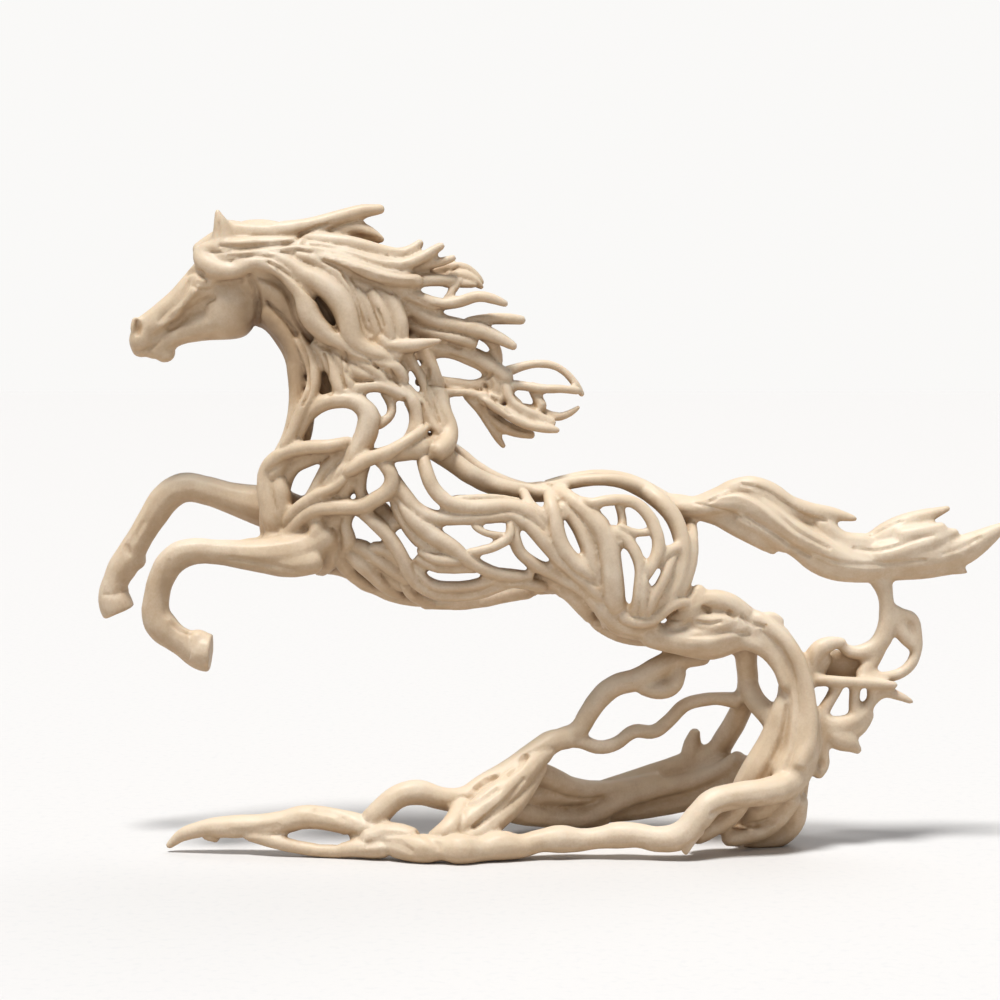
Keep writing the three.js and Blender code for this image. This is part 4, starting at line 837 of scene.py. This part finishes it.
def carve(piece, strokes):
    mesh = piece.data
    tree = BVHTree.FromObject(piece, bpy.context.evaluated_depsgraph_get())
    points = readVectors(mesh.vertices, "co")
    nearby = nearbyFinder(points)
    depths = np.zeros(len(points))
    for side in (-1, 1):
        eyeX, eyeY, eyeZ = drawing["seenFrom"]
        eye = place(eyeX, 0, eyeZ) + Vector((0, side * abs(eyeY) * mm, 0))
        for depth, route in strokes:
            pressed = {}
            for x, z, r in smoothRoute(route, clay["strokeStep"]):
                touched = tree.ray_cast(eye, place(x, 0, z) - eye)[0]
                if touched is None:
                    continue
                for _, index, distance in nearby.find_range(touched, r * mm):
                    share = (1 - (distance / (r * mm)) ** 2) ** 2
                    pressed[index] = max(pressed.get(index, 0), share)
            for index, share in pressed.items():
                depths[index] += depth * share
    pressIn(mesh, points, depths)


# a valley wherever two branches run into one another
crease = {"depth": 0.9, "width": 1.6, "reach": 1.4}


def deepenCreases(piece, strands):
    mesh = piece.data
    points = readVectors(mesh.vertices, "co")
    nearby = nearbyFinder(points)
    nearest = np.ones(len(points))
    second = np.ones(len(points))
    for strand in strands:
        gaps = {}
        for x, y, z, r in smoothRoute(strand, clay["creaseStep"]):
            for _, index, distance in nearby.find_range(place(x, y, z), (r + crease["reach"]) * mm):
                gaps[index] = min(gaps.get(index, 1), distance / mm - r)
        touched = np.fromiter(gaps.keys(), int)
        gap = np.fromiter(gaps.values(), float)
        second[touched] = np.minimum(second[touched], np.maximum(nearest[touched], gap))
        nearest[touched] = np.minimum(nearest[touched], gap)
    share = np.clip(1 - (second - nearest) / crease["width"], 0, 1) * (second < 1)
    pressIn(mesh, points, crease["depth"] * share**2)


deepenCreases(horse, strands)
print("creases deepened")
applyModifier(horse, "SMOOTH", factor=0.5, iterations=clay["lastSmoothing"])
for strokes in carving.values():
    carve(horse, strokes)
print("details carved")

waver = bpy.data.textures.new("waver", "CLOUDS")
waver.noise_scale = clay["waverSize"] * mm
waver.noise_depth = 1
strength = clay["waver"] * mm
applyModifier(horse, "DISPLACE", texture=waver, texture_coords="LOCAL", strength=strength, mid_level=0.5)

bpy.ops.object.mode_set(mode="EDIT")
bpy.ops.mesh.select_all(action="SELECT")
sole = (0, 0, clay["soleHeight"] * mm)
bpy.ops.mesh.bisect(plane_co=sole, plane_no=(0, 0, 1), use_fill=True, clear_inner=True)
bpy.ops.object.mode_set(mode="OBJECT")
triangles = sum(len(face.vertices) - 2 for face in horse.data.polygons)
applyModifier(horse, "DECIMATE", ratio=clay["triangles"] / triangles)
bpy.ops.object.shade_smooth()
print("skin finished:", len(horse.data.polygons), "faces")

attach(horse, "root")
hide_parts("horse_sculpture")

# painted shade: how closed in each point of the skin is, from about 0 in the open to 1 deep between the
# branches, darker the more it faces down, and in listed places painted in more shade, or painted lighter
# where the amount is negative: x, z, how far it spreads, how much
shadeMeasure = {
    "rays": 16,
    "reach": 22,
    "lift": 0.2,  # the rays start this far off the skin
    # downward rays count less, so the undersides get painted shade
    "fromBelow": 0.39,  # how much less a ray counts the lower it points
    "paintedSpots": [
        (-145, 268, 12, 0.2),  # behind the cheek
        (-135, 250, 14, 0.22),
        (-130, 230, 12, 0.16),
        (-190, 130, 34, 0.1),  # forelegs
        (-145, 130, 30, 0.07),
        (45, 150, 42, -0.08),  # haunch
        (140, 155, 45, -0.06),  # tail
    ],
}


def measurePaintedShade(piece):
    mesh = piece.data
    tree = BVHTree.FromObject(piece, bpy.context.evaluated_depsgraph_get())
    directions = []
    for number in range(shadeMeasure["rays"]):
        turn = number * math.pi * (3 - math.sqrt(5))  # the golden angle
        away = math.sqrt((number + 0.5) / shadeMeasure["rays"])
        directions.append(Vector((away * math.cos(turn), away * math.sin(turn), math.sqrt(1 - away * away))))
    paintedShade = np.zeros(len(mesh.vertices), np.float32)
    for vertex in mesh.vertices:
        turned = vertex.normal.to_track_quat("Z", "Y")
        start = vertex.co + vertex.normal * shadeMeasure["lift"] * mm
        light = 0
        for direction in directions:
            ray = turned @ direction
            distance = tree.ray_cast(start, ray, shadeMeasure["reach"] * mm)[3]
            clear = 1 if distance is None else distance / (shadeMeasure["reach"] * mm)
            light += clear * (1 + shadeMeasure["fromBelow"] * (ray.z - 1))
        paintedShade[vertex.index] = 1 - light / shadeMeasure["rays"]
        # listed places get more painted shade, or painted light where the amount is negative
        for x, z, spread, amount in shadeMeasure["paintedSpots"]:
            away = math.hypot(vertex.co.x / mm - x, vertex.co.z / mm - z) / spread
            paintedShade[vertex.index] += amount * math.exp(-away * away)
    mesh.attributes.new("paintedShade", "FLOAT", "POINT").data.foreach_set("value", paintedShade)
    print("recess measured:", round(float(paintedShade.mean()), 3), round(float(paintedShade.max()), 3))


measurePaintedShade(horse)


class Value:
    def __init__(self, shading, socket):
        self.shading = shading
        self.socket = socket

    def work(self, operation, first, second):
        return self.shading.node("ShaderNodeMath", {"operation": operation}, {0: first, 1: second})

    def __add__(self, other):
        return self.work("ADD", self, other)

    def __radd__(self, other):
        return self.work("ADD", other, self)

    def __sub__(self, other):
        return self.work("SUBTRACT", self, other)

    def __rsub__(self, other):
        return self.work("SUBTRACT", other, self)

    def __mul__(self, other):
        return self.work("MULTIPLY", self, other)

    def __rmul__(self, other):
        return self.work("MULTIPLY", other, self)


class Shading:
    def __init__(self, name):
        self.material = bpy.data.materials.new(name)
        self.material.use_nodes = True
        self.tree = self.material.node_tree
        self.shader = self.tree.nodes["Principled BSDF"]

    def node(self, kind, settings, inputs, output=0):
        made = self.tree.nodes.new(kind)
        for name, value in settings.items():
            setattr(made, name, value)
        for name, value in inputs.items():
            if isinstance(value, Value):
                self.tree.links.new(value.socket, made.inputs[name])
            else:
                made.inputs[name].default_value = value
        return Value(self, made.outputs[output])

    def noise(self, spot, scale, detail, roughness=0.5):
        inputs = {"Vector": spot, "Scale": scale, "Detail": detail, "Roughness": roughness}
        return self.node("ShaderNodeTexNoise", {}, inputs)

    def blend(self, share, first, second):
        return self.node("ShaderNodeMix", {"data_type": "RGBA"}, {0: share, 6: first, 7: second}, 2)

    def spread(self, value, low, high):
        inputs = {"Value": value, "From Min": low, "From Max": high}
        return self.node("ShaderNodeMapRange", {"interpolation_type": "SMOOTHSTEP"}, inputs)

    def feed(self, name, value):
        if isinstance(value, Value):
            self.tree.links.new(value.socket, self.shader.inputs[name])
        else:
            self.shader.inputs[name].default_value = value


resin = {
    "ivory": (0.83, 0.685, 0.515, 1),
    "cream": (0.90, 0.785, 0.64, 1),
    # tan and umber are painted shade, laid where the skin is closed in, faces down or is listed as shaded
    "tan": (0.455, 0.30, 0.165, 1),
    "umber": (0.15, 0.078, 0.034, 1),
    "clouds": 24,  # the three patterns, in repeats to a metre
    "mottling": 140,
    "grain": 900,
    "tanFrom": 0.17,  # how closed in the skin is where the tan begins, and where it is full
    "tanFull": 0.62,
    "umberFrom": 0.52,
    "umberFull": 0.9,
    "paintedShadeStrength": 0.9,
    "roughness": 0.5,
}


def ivoryResin():
    shading = Shading("ivoryResin")
    spot = shading.node("ShaderNodeTexCoord", {}, {}, "Object")
    paintedShade = shading.node("ShaderNodeAttribute", {"attribute_name": "paintedShade"}, {}, "Fac")
    cloudy = shading.noise(spot, resin["clouds"], 3)
    mottled = shading.noise(spot, resin["mottling"], 4, 0.6)
    grain = shading.noise(spot, resin["grain"], 2, 0.6)
    # painted shade: hollows, undersides and listed spots turn tan, and the deepest umber, broken up by the
    # mottling and grain
    mottledShade = paintedShade + (mottled - 0.5) * 0.2
    colour = shading.blend(shading.spread(cloudy, 0.35, 0.7), resin["ivory"], resin["cream"])
    tanShadeShare = shading.spread(mottledShade + (grain - 0.5) * 0.1, resin["tanFrom"], resin["tanFull"])
    colour = shading.blend(tanShadeShare * resin["paintedShadeStrength"], colour, resin["tan"])
    deep = shading.spread(mottledShade, resin["umberFrom"], resin["umberFull"])
    colour = shading.blend(deep * resin["paintedShadeStrength"], colour, resin["umber"])
    shading.feed("Base Color", colour)
    shading.feed("Roughness", resin["roughness"] + tanShadeShare * 0.15 + (mottled - 0.5) * 0.15)
    relief = {"Strength": 0.25, "Distance": 0.0006, "Height": mottled * 0.7 + grain * 0.3}
    bump = shading.node("ShaderNodeBump", {}, relief)
    shading.feed("Normal", bump)
    shading.feed("Subsurface Weight", 0.15)
    shading.feed("Subsurface Radius", (1.0, 0.55, 0.3))
    shading.feed("Subsurface Scale", 0.003)
    shading.feed("Coat Weight", 0.06)
    shading.feed("Coat Roughness", 0.3)
    return shading.material


horse.data.materials.clear()
horse.data.materials.append(ivoryResin())

# the studio
studio = {
    "floor": (0.80, 0.81, 0.835, 1),
    "fibre": (0.77, 0.785, 0.815, 1),
    "background": (0.955, 0.947, 0.935, 1),
    "daylight": 0.22,
    "suns": [  # where from, strength, softness in degrees, colour
        ("key", (-0.25, -0.42, 1.6), 3, 14, (1, 0.97, 0.92)),
        ("rim", (0.5, 1.0, 1.5), 0.5, 40, (1, 0.97, 0.94)),
    ],
    "cameraHeight": 237,  # in millimetres, as in the drawing
    "cameraAim": 174,
    "cameraAway": 1.15,  # in metres from the middle plane
    "seenWidth": 0.5,  # and how much of that plane fills the frame
    "seenAway": 1.1517,  # at this distance along the line of sight
    "sensor": 36,
}

deselectAll()
bpy.ops.mesh.primitive_plane_add(size=60)
floor = bpy.context.object
floor.name = "floor"
paper = Shading("paper")
fibre = paper.noise(paper.node("ShaderNodeTexCoord", {}, {}, "Object"), 220, 3)
paper.feed("Base Color", paper.blend(paper.spread(fibre, 0.5, 0.75), studio["floor"], studio["fibre"]))
paper.feed("Roughness", 0.85 + fibre * 0.1)
relief = {"Strength": 0.1, "Distance": 0.0002, "Height": fibre}
paper.feed("Normal", paper.node("ShaderNodeBump", {}, relief))
floor.data.materials.append(paper.material)

world = bpy.data.worlds.new("studio")
world.use_nodes = True
background = world.node_tree.nodes["Background"]
background.inputs["Color"].default_value = studio["background"]
seen = world.node_tree.nodes.new("ShaderNodeLightPath")
level = world.node_tree.nodes.new("ShaderNodeMapRange")
level.inputs["To Min"].default_value = studio["daylight"]
level.inputs["To Max"].default_value = 1
world.node_tree.links.new(seen.outputs["Is Camera Ray"], level.inputs["Value"])
world.node_tree.links.new(level.outputs["Result"], background.inputs["Strength"])
bpy.context.scene.world = world


def addSun(name, fromPlace, strength, softness, colour):
    bpy.ops.object.light_add(type="SUN", location=fromPlace)
    light = bpy.context.object
    light.name = name
    light.data.energy = strength
    light.data.angle = math.radians(softness)
    light.data.color = colour
    light.rotation_euler = Vector(fromPlace).to_track_quat("Z", "Y").to_euler()


for sun in studio["suns"]:
    addSun(*sun)

eyeX = drawing["seenFrom"][0]
eye = place(eyeX, 0, studio["cameraHeight"]) - Vector((0, studio["cameraAway"], 0))
bpy.ops.object.camera_add(location=eye)
camera = bpy.context.object
aim = place(eyeX, 0, studio["cameraAim"])
camera.rotation_euler = (aim - camera.location).to_track_quat("-Z", "Y").to_euler()
camera.data.sensor_width = studio["sensor"]
camera.data.lens = studio["sensor"] * studio["seenAway"] / studio["seenWidth"]
bpy.context.scene.camera = camera
bpy.context.scene.view_settings.view_transform = "Standard"
print("studio lit")
